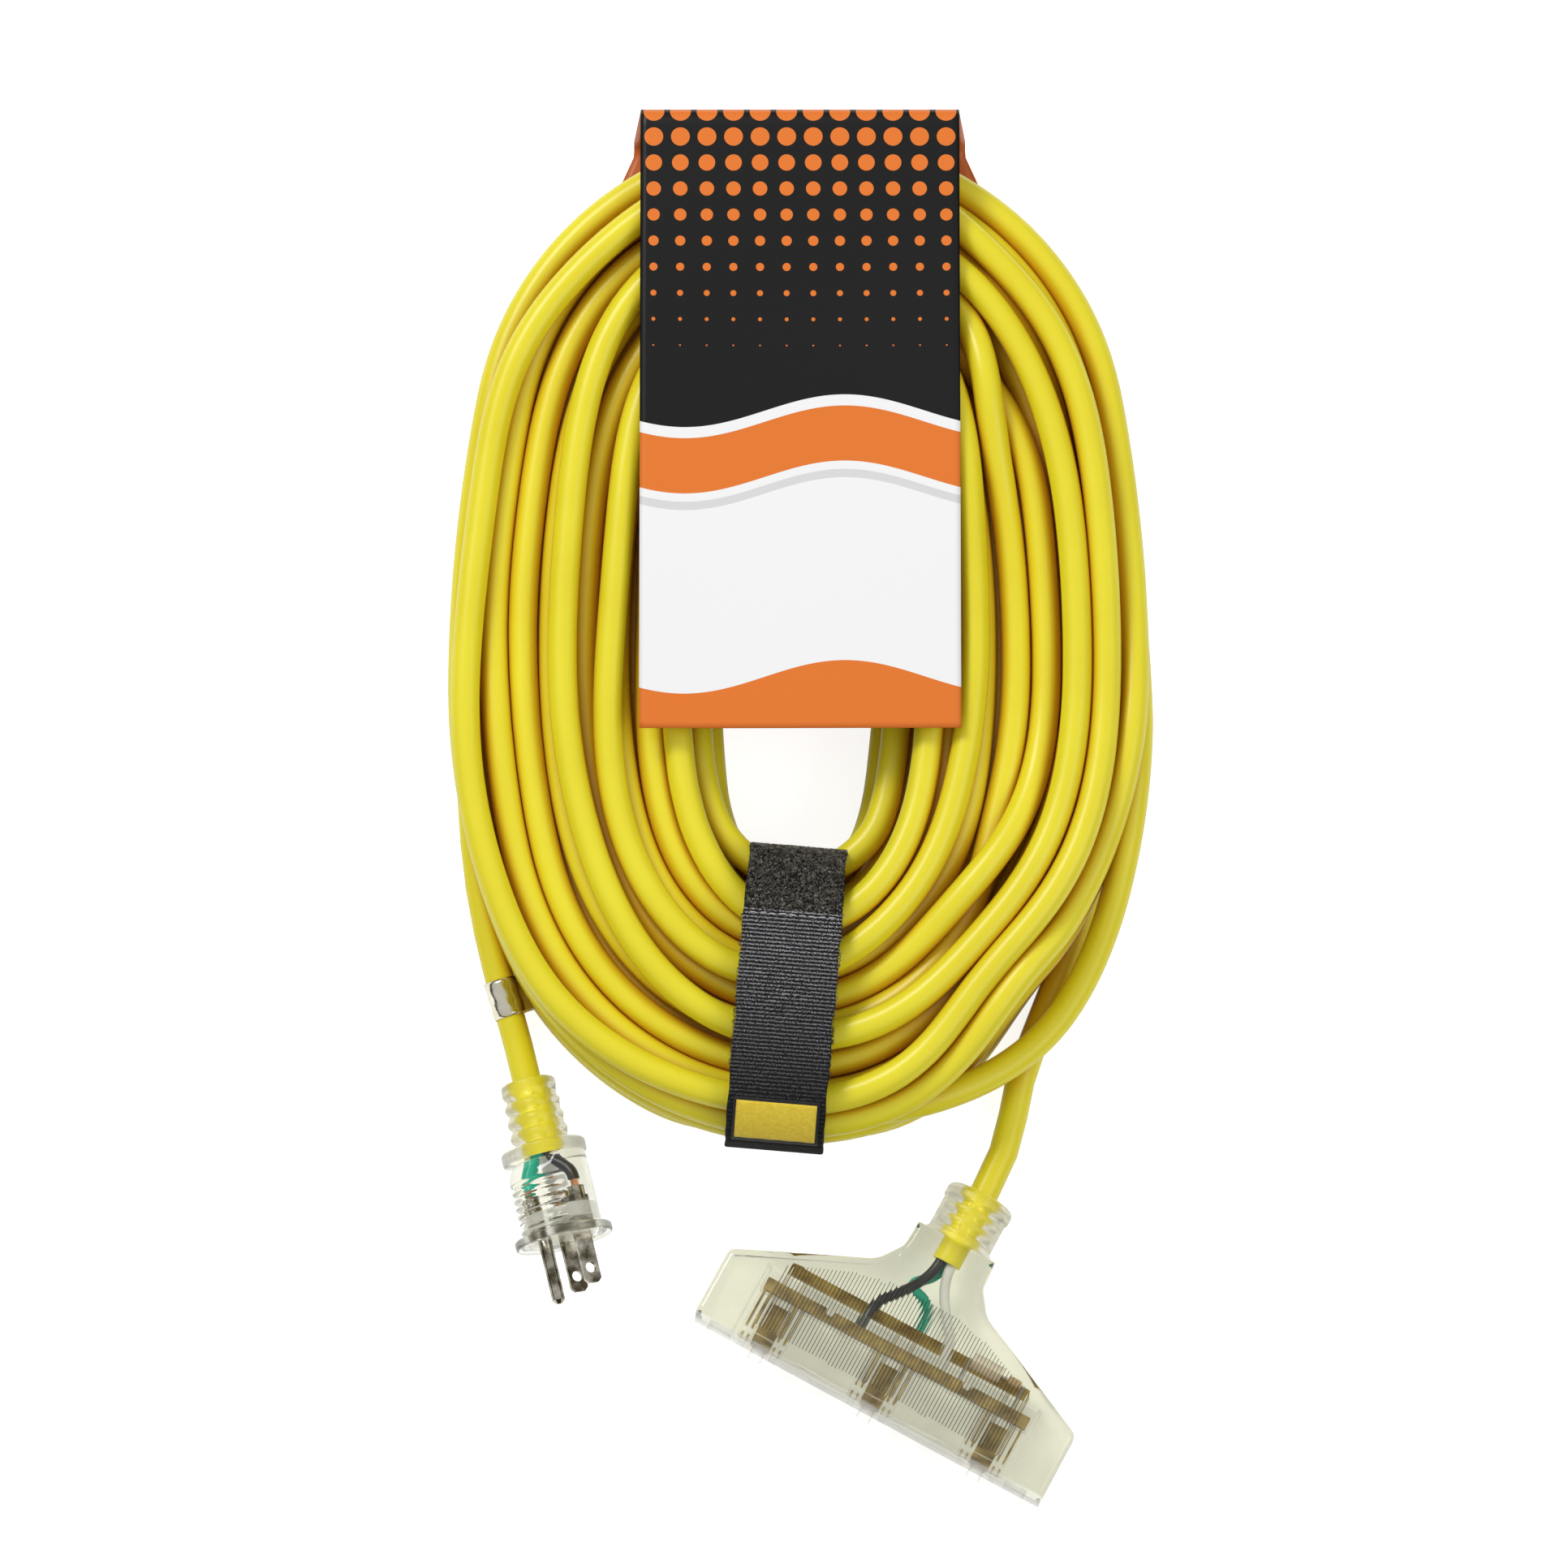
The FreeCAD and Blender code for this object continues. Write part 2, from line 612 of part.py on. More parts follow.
# The plug's own frame: X along its axis from the cord to the face, resting on both flanges
REAR_FLANGE_AT = size("relief_length + rear_flange_length / 2")
FACE_START = size("relief_length + rear_flange_length + grip_length")
FACE_AT = FACE_START + size("face_length / 2")
PLUG_PITCH = math.asin(size("face_radius - rear_flange_radius") / (FACE_AT - REAR_FLANGE_AT))
PLUG_ENTRY_Z = (size("rear_flange_radius + seat_gap") - REAR_FLANGE_AT * math.sin(PLUG_PITCH)) / math.cos(PLUG_PITCH)
PLUG_FRAME = FreeCAD.Placement(
    V(size("plug_entry_x"), size("plug_entry_y"), PLUG_ENTRY_Z),
    FreeCAD.Rotation(size("plug_turn"), -math.degrees(PLUG_PITCH), size("plug_roll")))


def in_plug(x=0.0, y=0.0, z=0.0):
    return PLUG_FRAME.multiply(FreeCAD.Placement(V(x, y, z), FreeCAD.Rotation()))


GRIP_START = "relief_length + rear_flange_length"
PLUG_FACE = f"{GRIP_START} + grip_length + face_length"
CAVITY_END = f"{PLUG_FACE} - plug_wall"

def plug_piece(body, y=0.0, z=0.0):
    body.Placement = PLUG_FRAME.multiply(FreeCAD.Placement(V(0, y, z), FreeCAD.Rotation()))
    return body


def both_sides(sketch, left, right, low, high):
    """A rectangle and its mirror image across the sketch's horizontal axis."""
    rectangle(sketch, left, right, low, high)
    rectangle(sketch, left, right, f"-({high})", f"-({low})")


# Plug moulding: strain relief, two flanges, grip, and the space inside
plug = part_body("plug_body")
profile = sketch_on(plug, "plug_profile", "XZ_Plane")
outline(profile, [
    ("0", "0"), ("0", "relief_radius"), ("relief_length", "relief_shoulder"),
    ("relief_length", "rear_flange_radius - plug_rim"), ("relief_length + plug_rim", "rear_flange_radius"),
    (GRIP_START, "rear_flange_radius"), (GRIP_START, "grip_radius"),
    (f"{GRIP_START} + grip_length", "grip_radius"), (f"{GRIP_START} + grip_length", "face_radius - plug_rim"),
    (f"{GRIP_START} + grip_length + plug_rim", "face_radius"), (PLUG_FACE, "face_radius"), (PLUG_FACE, "0")])
turned(plug, "Revolution", "plug_form", profile)

BLADE_SIDE = "blade_offset + blade_width / 2 + mould_gap"
BLADE_BACK = "(blade_spacing + blade_thickness) / 2 + mould_gap"
BLADE_REACH = f"sqrt(({BLADE_SIDE}) * ({BLADE_SIDE}) + ({BLADE_BACK}) * ({BLADE_BACK}))"
PIN_REACH = "pin_offset - blade_offset + pin_root_radius + mould_gap"
BRIDGE_RADIUS = f"max({BLADE_REACH}; {PIN_REACH}) + bridge_rim"
CAVITY_RADIUS = f"{BRIDGE_RADIUS} + bridge_slack"
inside = sketch_on(plug, "plug_inside", "XZ_Plane")
CAVITY_START = "relief_length + plug_back_wall"
BORE = "cord_diameter / 2 + mould_gap"
outline(inside, [
    ("-cut_margin", "0"), ("-cut_margin", BORE), (CAVITY_START, BORE), (CAVITY_START, CAVITY_RADIUS),
    (CAVITY_END, CAVITY_RADIUS), (CAVITY_END, "0")])
turned(plug, "Groove", "plug_space", inside)

SLOT_PITCH = "relief_length / (relief_slots + 0.5)"
for name, role, start, count in (
        ("side", "XY_Plane", f"{SLOT_PITCH} / 2", "relief_slots"),
        ("top", "XZ_Plane", SLOT_PITCH, "relief_slots - 1")):
    slot = sketch_on(plug, f"{name}_slot", role)
    both_sides(slot, start, f"{start} + relief_slot", "relief_radius - relief_slot_depth", "relief_shoulder + cut_margin")
    first_slot = cut(plug, f"{name}_slot_cut", slot, "2 * relief_shoulder", symmetric=True)
    repeated(plug, f"{name}_slots", first_slot, slot, "H_Axis", f"{SLOT_PITCH} * ({count} - 1)", count)

rib = sketch_on(plug, "grip_groove")
RIB_START = f"{GRIP_START} + (grip_length - grip_rib_pitch * (grip_ribs - 1)) / 2 - grip_rib_pitch / 4"
rectangle(rib, RIB_START, f"{RIB_START} + grip_rib_pitch / 2", "-grip_radius - cut_margin", "-grip_radius + grip_rib_depth")
first_rib = cut(plug, "grip_groove_cut", rib, "grip_radius", symmetric=True)
repeated(plug, "grip_grooves", first_rib, rib, "H_Axis", "grip_rib_pitch * (grip_ribs - 1)", "grip_ribs")

PIN_SIDE = "blade_offset - pin_offset"


def metal_holes(sketch, gap):
    """The outlines of both blades and the earth pin, seen along the plug, with a gap round them."""
    half_width = f"(blade_width / 2 + {gap})"
    half_sheet = f"(blade_thickness / 2 + {gap})"
    for side in ("blade_spacing / 2", "-blade_spacing / 2"):
        rectangle(sketch, f"blade_offset - {half_width}", f"blade_offset + {half_width}",
                  f"{side} - {half_sheet}", f"{side} + {half_sheet}")
    circle(sketch, PIN_SIDE, "0", f"pin_root_radius + {gap}")


holes = sketch_on(plug, "plug_holes", "YZ_Plane", f"{CAVITY_END} - cut_margin")
metal_holes(holes, "mould_gap")
cut(plug, "plug_hole_cut", holes, "plug_wall + 2 * cut_margin", forward=True)
plug_piece(plug)

bridge = part_body("plug_bridge")
disc = sketch_on(bridge, "bridge_disc", "YZ_Plane", f"{CAVITY_END} - seat_gap - bridge_length")
circle(disc, "0", "0", BRIDGE_RADIUS)
metal_holes(disc, "mould_gap")
pad(bridge, "bridge_form", disc, "bridge_length")
plug_piece(bridge)

# Plug metal: blades with their crimp barrels, and the earth pin
METAL_ROOT = f"{PLUG_FACE} - blade_root"
TIP = f"{PLUG_FACE} + blade_length"
for name, side in (("blade_hot", 1), ("blade_neutral", -1)):
    blade = part_body(name)
    flat = sketch_on(blade, f"{name}_flat")
    outline(flat, [
        (METAL_ROOT, "-blade_width / 2"), (f"{TIP} - blade_chamfer", "-blade_width / 2"),
        (TIP, "-blade_width / 2 + blade_chamfer"), (TIP, "blade_width / 2 - blade_chamfer"),
        (f"{TIP} - blade_chamfer", "blade_width / 2"), (METAL_ROOT, "blade_width / 2")])
    circle(flat, f"{PLUG_FACE} + blade_hole_setback", "0", "blade_hole_diameter / 2")
    pad(blade, f"{name}_form", flat, "blade_thickness", symmetric=True)
    barrel = sketch_on(blade, f"{name}_barrel", "YZ_Plane", f"{METAL_ROOT} - crimp_length + blade_thickness")
    circle(barrel, "0", "0", "crimp_radius")
    pad(blade, f"{name}_crimp", barrel, "crimp_length")
    plug_piece(blade, size("blade_offset"), side * size("blade_spacing / 2"))

pin = part_body("earth_pin")
profile = sketch_on(pin, "pin_profile", "XZ_Plane")
PIN_TIP = f"{PLUG_FACE} + pin_length"
CRIMP_START = f"{METAL_ROOT} - crimp_length + blade_thickness"
outline(profile, [
    (CRIMP_START, "0"), (CRIMP_START, "pin_root_radius"), (PLUG_FACE, "pin_root_radius"), (PLUG_FACE, "pin_radius"),
    (f"{PIN_TIP} - pin_nose", "pin_radius"), (PIN_TIP, "pin_radius - pin_nose"), (PIN_TIP, "0")])
turned(pin, "Revolution", "pin_form", profile)
plug_piece(pin, size(PIN_SIDE))


# Wires: each leaves the jacket's end, crosses over and meets its copper or its bus bar
def wire_shape(points, radius):
    wire, radii = rounded_path(points)
    centre, heading = start_of(wire)
    return pipe(wire, faceted_ring(centre, heading, radius, sides=6))


def crossing(start, end, travel, first, last):
    """Points of a wire that runs straight out of start and straight into end."""
    return [start, start + travel * first, end - travel * last, end]


WIRE_RADIUS = size("wire_diameter / 2")
WIRE_PITCH = size("wire_diameter / 2 + seat_gap")
COPPER_START = size(f"{CRIMP_START} - copper_length")
FORWARD = V(1, 0, 0)
plug_ends = {
    "black": (V(0, WIRE_PITCH / 2, WIRE_PITCH), V(0, size("blade_offset"), size("blade_spacing / 2"))),
    "white": (V(0, WIRE_PITCH / 2, -WIRE_PITCH), V(0, size("blade_offset"), -size("blade_spacing / 2"))),
    "green": (V(0, -WIRE_PITCH, 0), V(0, size(PIN_SIDE), 0)),
}
coppers = []
for colour, (place, target) in plug_ends.items():
    start = place + FORWARD * size("jacket_in_plug")
    end = target + FORWARD * COPPER_START
    points = crossing(start, end, FORWARD, size("wire_diameter / 2"), size("wire_diameter / 2"))
    part_shape(f"plug_wire_{colour}", wire_shape(points, WIRE_RADIUS), PLUG_FRAME)
    coppers.append(prism(end, FORWARD, size("copper_radius"), size("copper_length")))
part_shape("plug_copper_ends", Part.makeCompound(coppers), PLUG_FRAME)

# The block's own frame: X along the outlet face, Y from the face to the cord. It lies on its lower front
# edge and on the collar's end
BLOCK_PITCH = math.atan2(size("block_half_height - collar_radius"), size("collar_end - face_proud"))
BLOCK_DROP = size("block_half_height") * math.cos(BLOCK_PITCH) + size("face_proud") * math.sin(BLOCK_PITCH)
LOW_POINT = size("seat_gap") + BLOCK_DROP
BLOCK_FRAME = FreeCAD.Placement(
    V(size("block_x"), size("block_y"), LOW_POINT),
    FreeCAD.Rotation(V(0, 0, 1), size("block_turn"))).multiply(
    FreeCAD.Placement(V(0, 0, 0), FreeCAD.Rotation(V(1, 0, 0), -math.degrees(BLOCK_PITCH))))


def block_piece(body, x=0.0, y=0.0, z=0.0):
    body.Placement = BLOCK_FRAME.multiply(FreeCAD.Placement(V(x, y, z), FreeCAD.Rotation()))
    return body


def mirrored(corners):
    """Corners and their mirror images across the vertical axis, in one closed round."""
    return corners + [(f"-({x})", y) for x, y in reversed(corners)]


ROW = "outlet_pitch * (outlet_count - 1)"
BAR_HALF = f"({ROW} / 2 + blade_spacing / 2 + slot_width)"
EARTH_HALF = f"(({ROW} + earth_clip) / 2)"
CARRIER_HALF = f"({BAR_HALF} + carrier_margin + carrier_wall)"
FACE_HALF = f"({CARRIER_HALF} + face_margin)"
BLOCK_HALF = f"({FACE_HALF} + block_margin)"
CHAMBER_HALF = f"({EARTH_HALF} + chamber_margin)"
block = part_body("block_body")
plan = sketch_on(block, "block_plan")
outline(plan, mirrored([
    (BLOCK_HALF, "face_proud"), (BLOCK_HALF, "block_side"), ("block_throat", "block_throat_depth"),
    ("neck_half_width", "neck_start"), ("neck_half_width", "neck_end")]))
pad(block, "block_form", plan, "2 * block_half_height", symmetric=True)
taper = sketch_on(block, "block_taper", "YZ_Plane")
for side in ("", "-"):
    outline(taper, [
        ("face_proud", f"{side}block_half_height"), ("neck_end", f"{side}collar_radius"),
        ("neck_end + cut_margin", f"{side}collar_radius"),
        ("neck_end + cut_margin", f"{side}(block_half_height + cut_margin)"),
        ("face_proud", f"{side}(block_half_height + cut_margin)")])
cut(block, "block_taper_cut", taper, f"2 * ({BLOCK_HALF} + cut_margin)", symmetric=True)


def upright_at(x, y):
    """Whether an edge stands upright in the block's plan at x, on either side, and y."""
    def wanted(edge):
        point = edge.Vertexes[0].Point
        return runs_along(edge, UP) and near(abs(point.x), size(x)) and near(point.y, size(y))
    return wanted


for name, x, y, radius in (
        ("shoulders", BLOCK_HALF, "block_side", "block_corner"),
        ("throats", "block_throat", "block_throat_depth", "throat_round"),
        ("neck_corners", "neck_half_width", "neck_end", "block_corner")):
    round_edges(block, name, radius, upright_at(x, y))


def on_flat_side(edge):
    """Whether an edge lies along the block's upper or lower side, away from its outlet face."""
    top = edge.BoundBox
    heights = [abs(vertex.Point.z) for vertex in edge.Vertexes]
    slope = size("(block_half_height - collar_radius) / (neck_end - face_proud)")
    expected = [size("block_half_height") - slope * (vertex.Point.y - size("face_proud")) for vertex in edge.Vertexes]
    on_side = all(abs(height - place) < 0.01 for height, place in zip(heights, expected))
    return on_side and top.YMax > size("face_proud") + 0.1 and top.YMin < size("neck_end") - 0.1


bevel_edges(block, "block_bevels", "block_edge", on_flat_side)

collar = sketch_on(block, "collar_profile")
outline(collar, [
    ("0", "neck_start"), ("collar_radius", "neck_start"), ("collar_radius", "collar_end - block_edge"),
    ("collar_radius - block_edge", "collar_end"), ("0", "collar_end")])
turned(block, "Revolution", "collar_form", collar, "V_Axis")
bore = sketch_on(block, "collar_bore")
rectangle(bore, "0", BORE, "neck_start", "collar_end + cut_margin")
turned(block, "Groove", "collar_bore_cut", bore, "V_Axis")

slot = sketch_on(block, "collar_slot", "YZ_Plane")
SLOT_START = "collar_end - 2 * collar_slot * collar_slots"
both_sides(slot, SLOT_START, f"{SLOT_START} + collar_slot", "collar_radius - collar_slot_depth",
           "collar_radius + cut_margin")
slot_cut = cut(block, "collar_slot_cut", slot, "2 * neck_half_width", symmetric=True)
repeated(block, "collar_side_slots", slot_cut, slot, "H_Axis", "2 * collar_slot * (collar_slots - 1)", "collar_slots")

front = sketch_on(block, "carrier_opening", "XZ_Plane", "-face_proud")
rectangle(front, f"-{CARRIER_HALF} - mould_gap", f"{CARRIER_HALF} + mould_gap",
          "-carrier_height / 2 - mould_gap", "carrier_height / 2 + mould_gap")
cut(block, "carrier_opening_cut", front, "carrier_depth + mould_gap - face_proud")
chamber = sketch_on(block, "wire_chamber")
JACKET_END = "collar_end - jacket_in_block"
outline(chamber, mirrored([
    (CHAMBER_HALF, "carrier_depth"), (CHAMBER_HALF, "chamber_side"),
    ("block_throat - chamber_wall", "block_throat_depth - cut_margin"), ("chamber_neck", JACKET_END)]))
cut(block, "wire_chamber_cut", chamber, "2 * chamber_half_height", symmetric=True)
block_piece(block)

# Outlet face and the insert behind it, with a pocket for every contact
carrier = part_body("outlet_carrier")
face = sketch_on(carrier, "outlet_face", "XZ_Plane")
rectangle(face, f"-{FACE_HALF}", FACE_HALF, "-face_height / 2", "face_height / 2")
pad(carrier, "outlet_face_form", face, "face_proud - mould_gap").Reversed = True
insert = sketch_on(carrier, "insert", "XZ_Plane")
rectangle(insert, f"-{CARRIER_HALF}", CARRIER_HALF, "-carrier_height / 2", "carrier_height / 2")
pad(carrier, "insert_form", insert, "carrier_depth").Reversed = True
doc.recompute()
round_edges(carrier, "outlet_face_corners", "block_corner", lambda edge: runs_along(edge, V(0, 1, 0))
            and near(abs(edge.Vertexes[0].Point.x), size(FACE_HALF)))
back = sketch_on(carrier, "back_pocket", "XZ_Plane", "-carrier_depth")
rectangle(back, f"-{CARRIER_HALF} + carrier_wall", f"{CARRIER_HALF} - carrier_wall",
          "-carrier_height / 2 + carrier_wall", "carrier_height / 2 - carrier_wall")
cut(carrier, "back_pocket_cut", back, "carrier_depth - carrier_floor", forward=True)
FIRST = f"(-{ROW} / 2)"
EARTH_RISE = "(slot_rise - pin_offset)"
HOT, NEUTRAL = f"({FIRST} - blade_spacing / 2)", f"({FIRST} + blade_spacing / 2)"
LEAF_RISE = "((contact_height + bar_step) / 2 + contact_sheet)"
pockets = sketch_on(carrier, "contact_pockets", "XZ_Plane", "-carrier_floor")
for middle in (HOT, NEUTRAL):
    rectangle(pockets, f"{middle} - slot_width - mould_gap", f"{middle} + slot_width + mould_gap",
              f"slot_rise - {LEAF_RISE} - mould_gap", f"slot_rise + {LEAF_RISE} + mould_gap")
rectangle(pockets, f"{FIRST} - earth_clip / 2 - mould_gap", f"{FIRST} + earth_clip / 2 + mould_gap",
          f"{EARTH_RISE} - earth_clip / 2 - mould_gap", f"{EARTH_RISE} + earth_clip / 2 + mould_gap")
pocket_cut = cut(carrier, "contact_pocket_cut", pockets, "carrier_floor - face_skin", forward=True)
repeated(carrier, "contact_pocket_row", pocket_cut, pockets, "H_Axis", ROW, "outlet_count")
slots = sketch_on(carrier, "outlet_slots", "XZ_Plane")
for middle, length in ((HOT, "hot_slot_length"), (NEUTRAL, "neutral_slot_length")):
    rectangle(slots, f"{middle} - slot_width / 2", f"{middle} + slot_width / 2",
              f"slot_rise - {length} / 2", f"slot_rise + {length} / 2")
circle(slots, FIRST, EARTH_RISE, "earth_hole_radius")
slot_cut = cut(carrier, "outlet_slot_cut", slots, "face_skin + cut_margin")
repeated(carrier, "outlet_slot_row", slot_cut, slots, "H_Axis", ROW, "outlet_count")
block_piece(carrier)

# Bus bars: a strip behind the insert with a pair of spring leaves for each outlet
BAR_START = "carrier_floor + seat_gap"
for name, middle, low in (
        ("hot_bus", HOT, "slot_rise - (contact_height - bar_step) / 2"),
        ("neutral_bus", NEUTRAL, "slot_rise - (contact_height + bar_step) / 2")):
    strip_low = f"{low} + contact_height" if name == "hot_bus" else f"{low} - contact_sheet"
    bus = part_body(name)
    strip = sketch_on(bus, f"{name}_strip", offset=strip_low)
    rectangle(strip, f"-{BAR_HALF}", BAR_HALF, BAR_START, f"{BAR_START} + bar_width")
    pad(bus, f"{name}_bar", strip, "contact_sheet")
    notches = sketch_on(bus, f"{name}_notches", offset=strip_low)
    for side in ("", "-"):
        circle(notches, f"{side}locator_offset", "locator_depth", "locator_radius + mould_gap")
    cut(bus, f"{name}_notch_cut", notches, "contact_sheet", forward=True)
    leaves = sketch_on(bus, f"{name}_leaves", offset=low)
    for inner, outer in (("-blade_thickness / 2 - contact_sheet", "-blade_thickness / 2"),
                         ("blade_thickness / 2", "blade_thickness / 2 + contact_sheet")):
        rectangle(leaves, f"{middle} + {inner}", f"{middle} + {outer}", "contact_front", f"{BAR_START} + bar_width / 2")
    leaf_pair = pad(bus, f"{name}_leaf_pair", leaves, "contact_height")
    repeated(bus, f"{name}_leaf_row", leaf_pair, leaves, "H_Axis", ROW, "outlet_count")
    block_piece(bus)

earth = part_body("earth_bus")
bar = sketch_on(earth, "earth_strip")
rectangle(bar, f"-{EARTH_HALF}", EARTH_HALF, "earth_bar_depth", "earth_bar_depth + bar_width")
pad(earth, "earth_bar", bar, "contact_sheet", symmetric=True)
clip = sketch_on(earth, "earth_clip", "XZ_Plane", "-contact_front")
rectangle(clip, f"{FIRST} - earth_clip / 2", f"{FIRST} + earth_clip / 2", "-earth_clip / 2", "earth_clip / 2")
circle(clip, FIRST, "0", "earth_clip_bore")
clip_pad = pad(earth, "earth_clip_form", clip, "earth_clip_end - contact_front")
clip_pad.Reversed = True
doc.recompute()
clips = repeated(earth, "earth_clip_row", clip_pad, clip, "H_Axis", ROW, "outlet_count")
leg = sketch_on(earth, "earth_leg")
for inner, outer in (("-earth_clip / 2", "-earth_clip / 2 + contact_sheet"),
                     ("earth_clip / 2 - contact_sheet", "earth_clip / 2")):
    rectangle(leg, f"{FIRST} + {inner}", f"{FIRST} + {outer}",
              "earth_clip_end - contact_sheet", "earth_bar_depth + contact_sheet")
leg_pad = pad(earth, "earth_leg_form", leg, "earth_clip / 2", symmetric=True)
repeated(earth, "earth_leg_row", leg_pad, leg, "H_Axis", ROW, "outlet_count")
block_piece(earth, z=size(EARTH_RISE))

pins = part_body("locating_pins")
spots = sketch_on(pins, "locating_spots")
for side in ("", "-"):
    circle(spots, f"{side}locator_offset", "locator_depth", "locator_radius")
pad(pins, "locating_pins_form", spots, "carrier_height - 2 * carrier_wall - 2 * mould_gap", symmetric=True)
block_piece(pins)

# Block wires, from the jacket's end to the three bars
BACK = V(0, -1, 0)
BAR_BACK = size(f"{BAR_START} + bar_width + mould_gap")
EARTH_BACK = size("earth_bar_depth + bar_width + mould_gap")
HOT_RISE = size("slot_rise + (contact_height + bar_step + contact_sheet) / 2")
NEUTRAL_RISE = size("slot_rise - (contact_height + bar_step + contact_sheet) / 2")
block_ends = {
    "black": (V(-WIRE_PITCH, 0, WIRE_PITCH / 2), V(-size("wire_landing"), BAR_BACK, HOT_RISE)),
    "white": (V(WIRE_PITCH, 0, WIRE_PITCH / 2), V(size("wire_landing"), BAR_BACK, NEUTRAL_RISE)),
    "green": (V(0, 0, -WIRE_PITCH), V(size("earth_landing"), EARTH_BACK, size(EARTH_RISE))),
}
for colour, (place, end) in block_ends.items():
    start = place + V(0, size(JACKET_END), 0)
    points = crossing(start, end, BACK, size("wire_diameter"), size("wire_run"))
    part_shape(f"block_wire_{colour}", wire_shape(points, WIRE_RADIUS), BLOCK_FRAME)

# Indicator lamp of the lighted end, its resistor and the leads to the hot and neutral bars
LAMP_START = V(size("outlet_pitch / 2 + lamp_offset"), size("lamp_depth"), size("slot_rise"))
SIDE = V(1, 0, 0)
LEAD = size("lead_length")
LEAD_RADIUS = size("lead_radius")
LEAD_END = size(f"{BAR_START} + bar_width + seat_gap")
lamp_end = LAMP_START + SIDE * size("lamp_length")
resistor_start = lamp_end + SIDE * LEAD
resistor_end = resistor_start + SIDE * size("resistor_length")


def lead_to(start, travel, height):
    """A lead that leaves along travel, turns at one sharp bend and ends on a bar's back edge."""
    turn = start + travel * (LEAD / 2)
    wire = Part.makePolygon([start, turn, V(turn.x, LEAD_END, height)])
    shell = Part.BRepOffsetAPI.MakePipeShell(wire)
    shell.setTransitionMode(1)
    shell.add(faceted_ring(start, travel, LEAD_RADIUS))
    shell.build()
    shell.makeSolid()
    return shell.shape()


part_shape("indicator_lamp",
           Part.makeCylinder(size("lamp_radius"), size("lamp_length"), LAMP_START, SIDE), BLOCK_FRAME)
part_shape("lamp_resistor",
           Part.makeCylinder(size("resistor_radius"), size("resistor_length"), resistor_start, SIDE), BLOCK_FRAME)
part_shape("lamp_leads", Part.makeCompound([
    lead_to(LAMP_START, -SIDE, HOT_RISE),
    prism(lamp_end, SIDE, LEAD_RADIUS, LEAD),
    lead_to(resistor_end, SIDE, NEUTRAL_RISE)]), BLOCK_FRAME)


def jacket_end(name, length, frame, rotation):
    """The last stretch of jacket, inside a moulding."""
    cylinder = doc.addObject("Part::Cylinder", name)
    cylinder.Label = name
    bind(cylinder, "Radius", "cord_diameter / 2")
    bind(cylinder, "Height", length)
    cylinder.Placement = frame.multiply(rotation)
    PARTS.append(cylinder)


jacket_end("plug_jacket_end", "jacket_in_plug", PLUG_FRAME,
           FreeCAD.Placement(V(0, 0, 0), FreeCAD.Rotation(UP, FORWARD)))
jacket_end("block_jacket_end", "jacket_in_block", BLOCK_FRAME,
           FreeCAD.Placement(V(0, size("collar_end"), 0), FreeCAD.Rotation(UP, BACK)))

# Cord tails, from the coil's ends to the plug and the block
PLUG_HEADING = PLUG_FRAME.Rotation.multVec(FORWARD)
BLOCK_HEADING = BLOCK_FRAME.Rotation.multVec(BACK)
PLUG_ENTRY = PLUG_FRAME.Base
BLOCK_ENTRY = BLOCK_FRAME.multVec(V(0, size("collar_end"), 0))
coil_first, first_heading = coil_start
coil_last, last_heading = coil_end
COIL_LEAD = size("2 * cord_diameter")
PLUG_LEAD = 19.0
BLOCK_LEAD = 20.0
plug_route = [
    coil_first,
    coil_first - first_heading * COIL_LEAD,
    V(-115.5, -86, 15.2),
    V(-109.0, -117, 13.2),
    PLUG_ENTRY - PLUG_HEADING * PLUG_LEAD,
    PLUG_ENTRY,
]
block_route = [
    coil_last,
    coil_last + last_heading * COIL_LEAD,
    V(104.5, -84, 6.2),
    V(94.5, -123, 6.6),
    V(81.5, -156, 9.0),
    BLOCK_ENTRY - BLOCK_HEADING * BLOCK_LEAD,
    BLOCK_ENTRY,
]
part_shape("plug_tail", route_tube("plug tail", plug_route))
part_shape("block_tail", route_tube("block tail", block_route))

# Foil tag folded round the plug's tail, with its flag towards the coil
tag_along = (plug_route[4] - plug_route[3]).normalize()
tag_start = plug_route[3] + (plug_route[4] - plug_route[3]) * 0.5 - tag_along * size("tag_length / 2")
tag_side = UP.cross(tag_along).normalize()
TAG_REACH = size("facet_reach + tag_slack")
outer_ring = Part.Face(faceted_ring(tag_start, tag_along, TAG_REACH + size("tag_thickness")))
inner_ring = Part.Face(faceted_ring(tag_start, tag_along, TAG_REACH))
flag_up = tag_along.cross(tag_side)
flag = [tag_start + tag_side * across + flag_up * up for across, up in (
    (TAG_REACH, -size("tag_thickness")), (TAG_REACH + size("tag_reach"), -size("tag_thickness")),
    (TAG_REACH + size("tag_reach"), size("tag_thickness")), (TAG_REACH, size("tag_thickness")))]
flag_face = Part.Face(Part.makePolygon(flag + flag[:1]))
tag_faces = outer_ring.fuse(flag_face).removeSplitter().cut(inner_ring)
part_shape("foil_tag", tag_faces.extrude(tag_along * size("tag_length")))

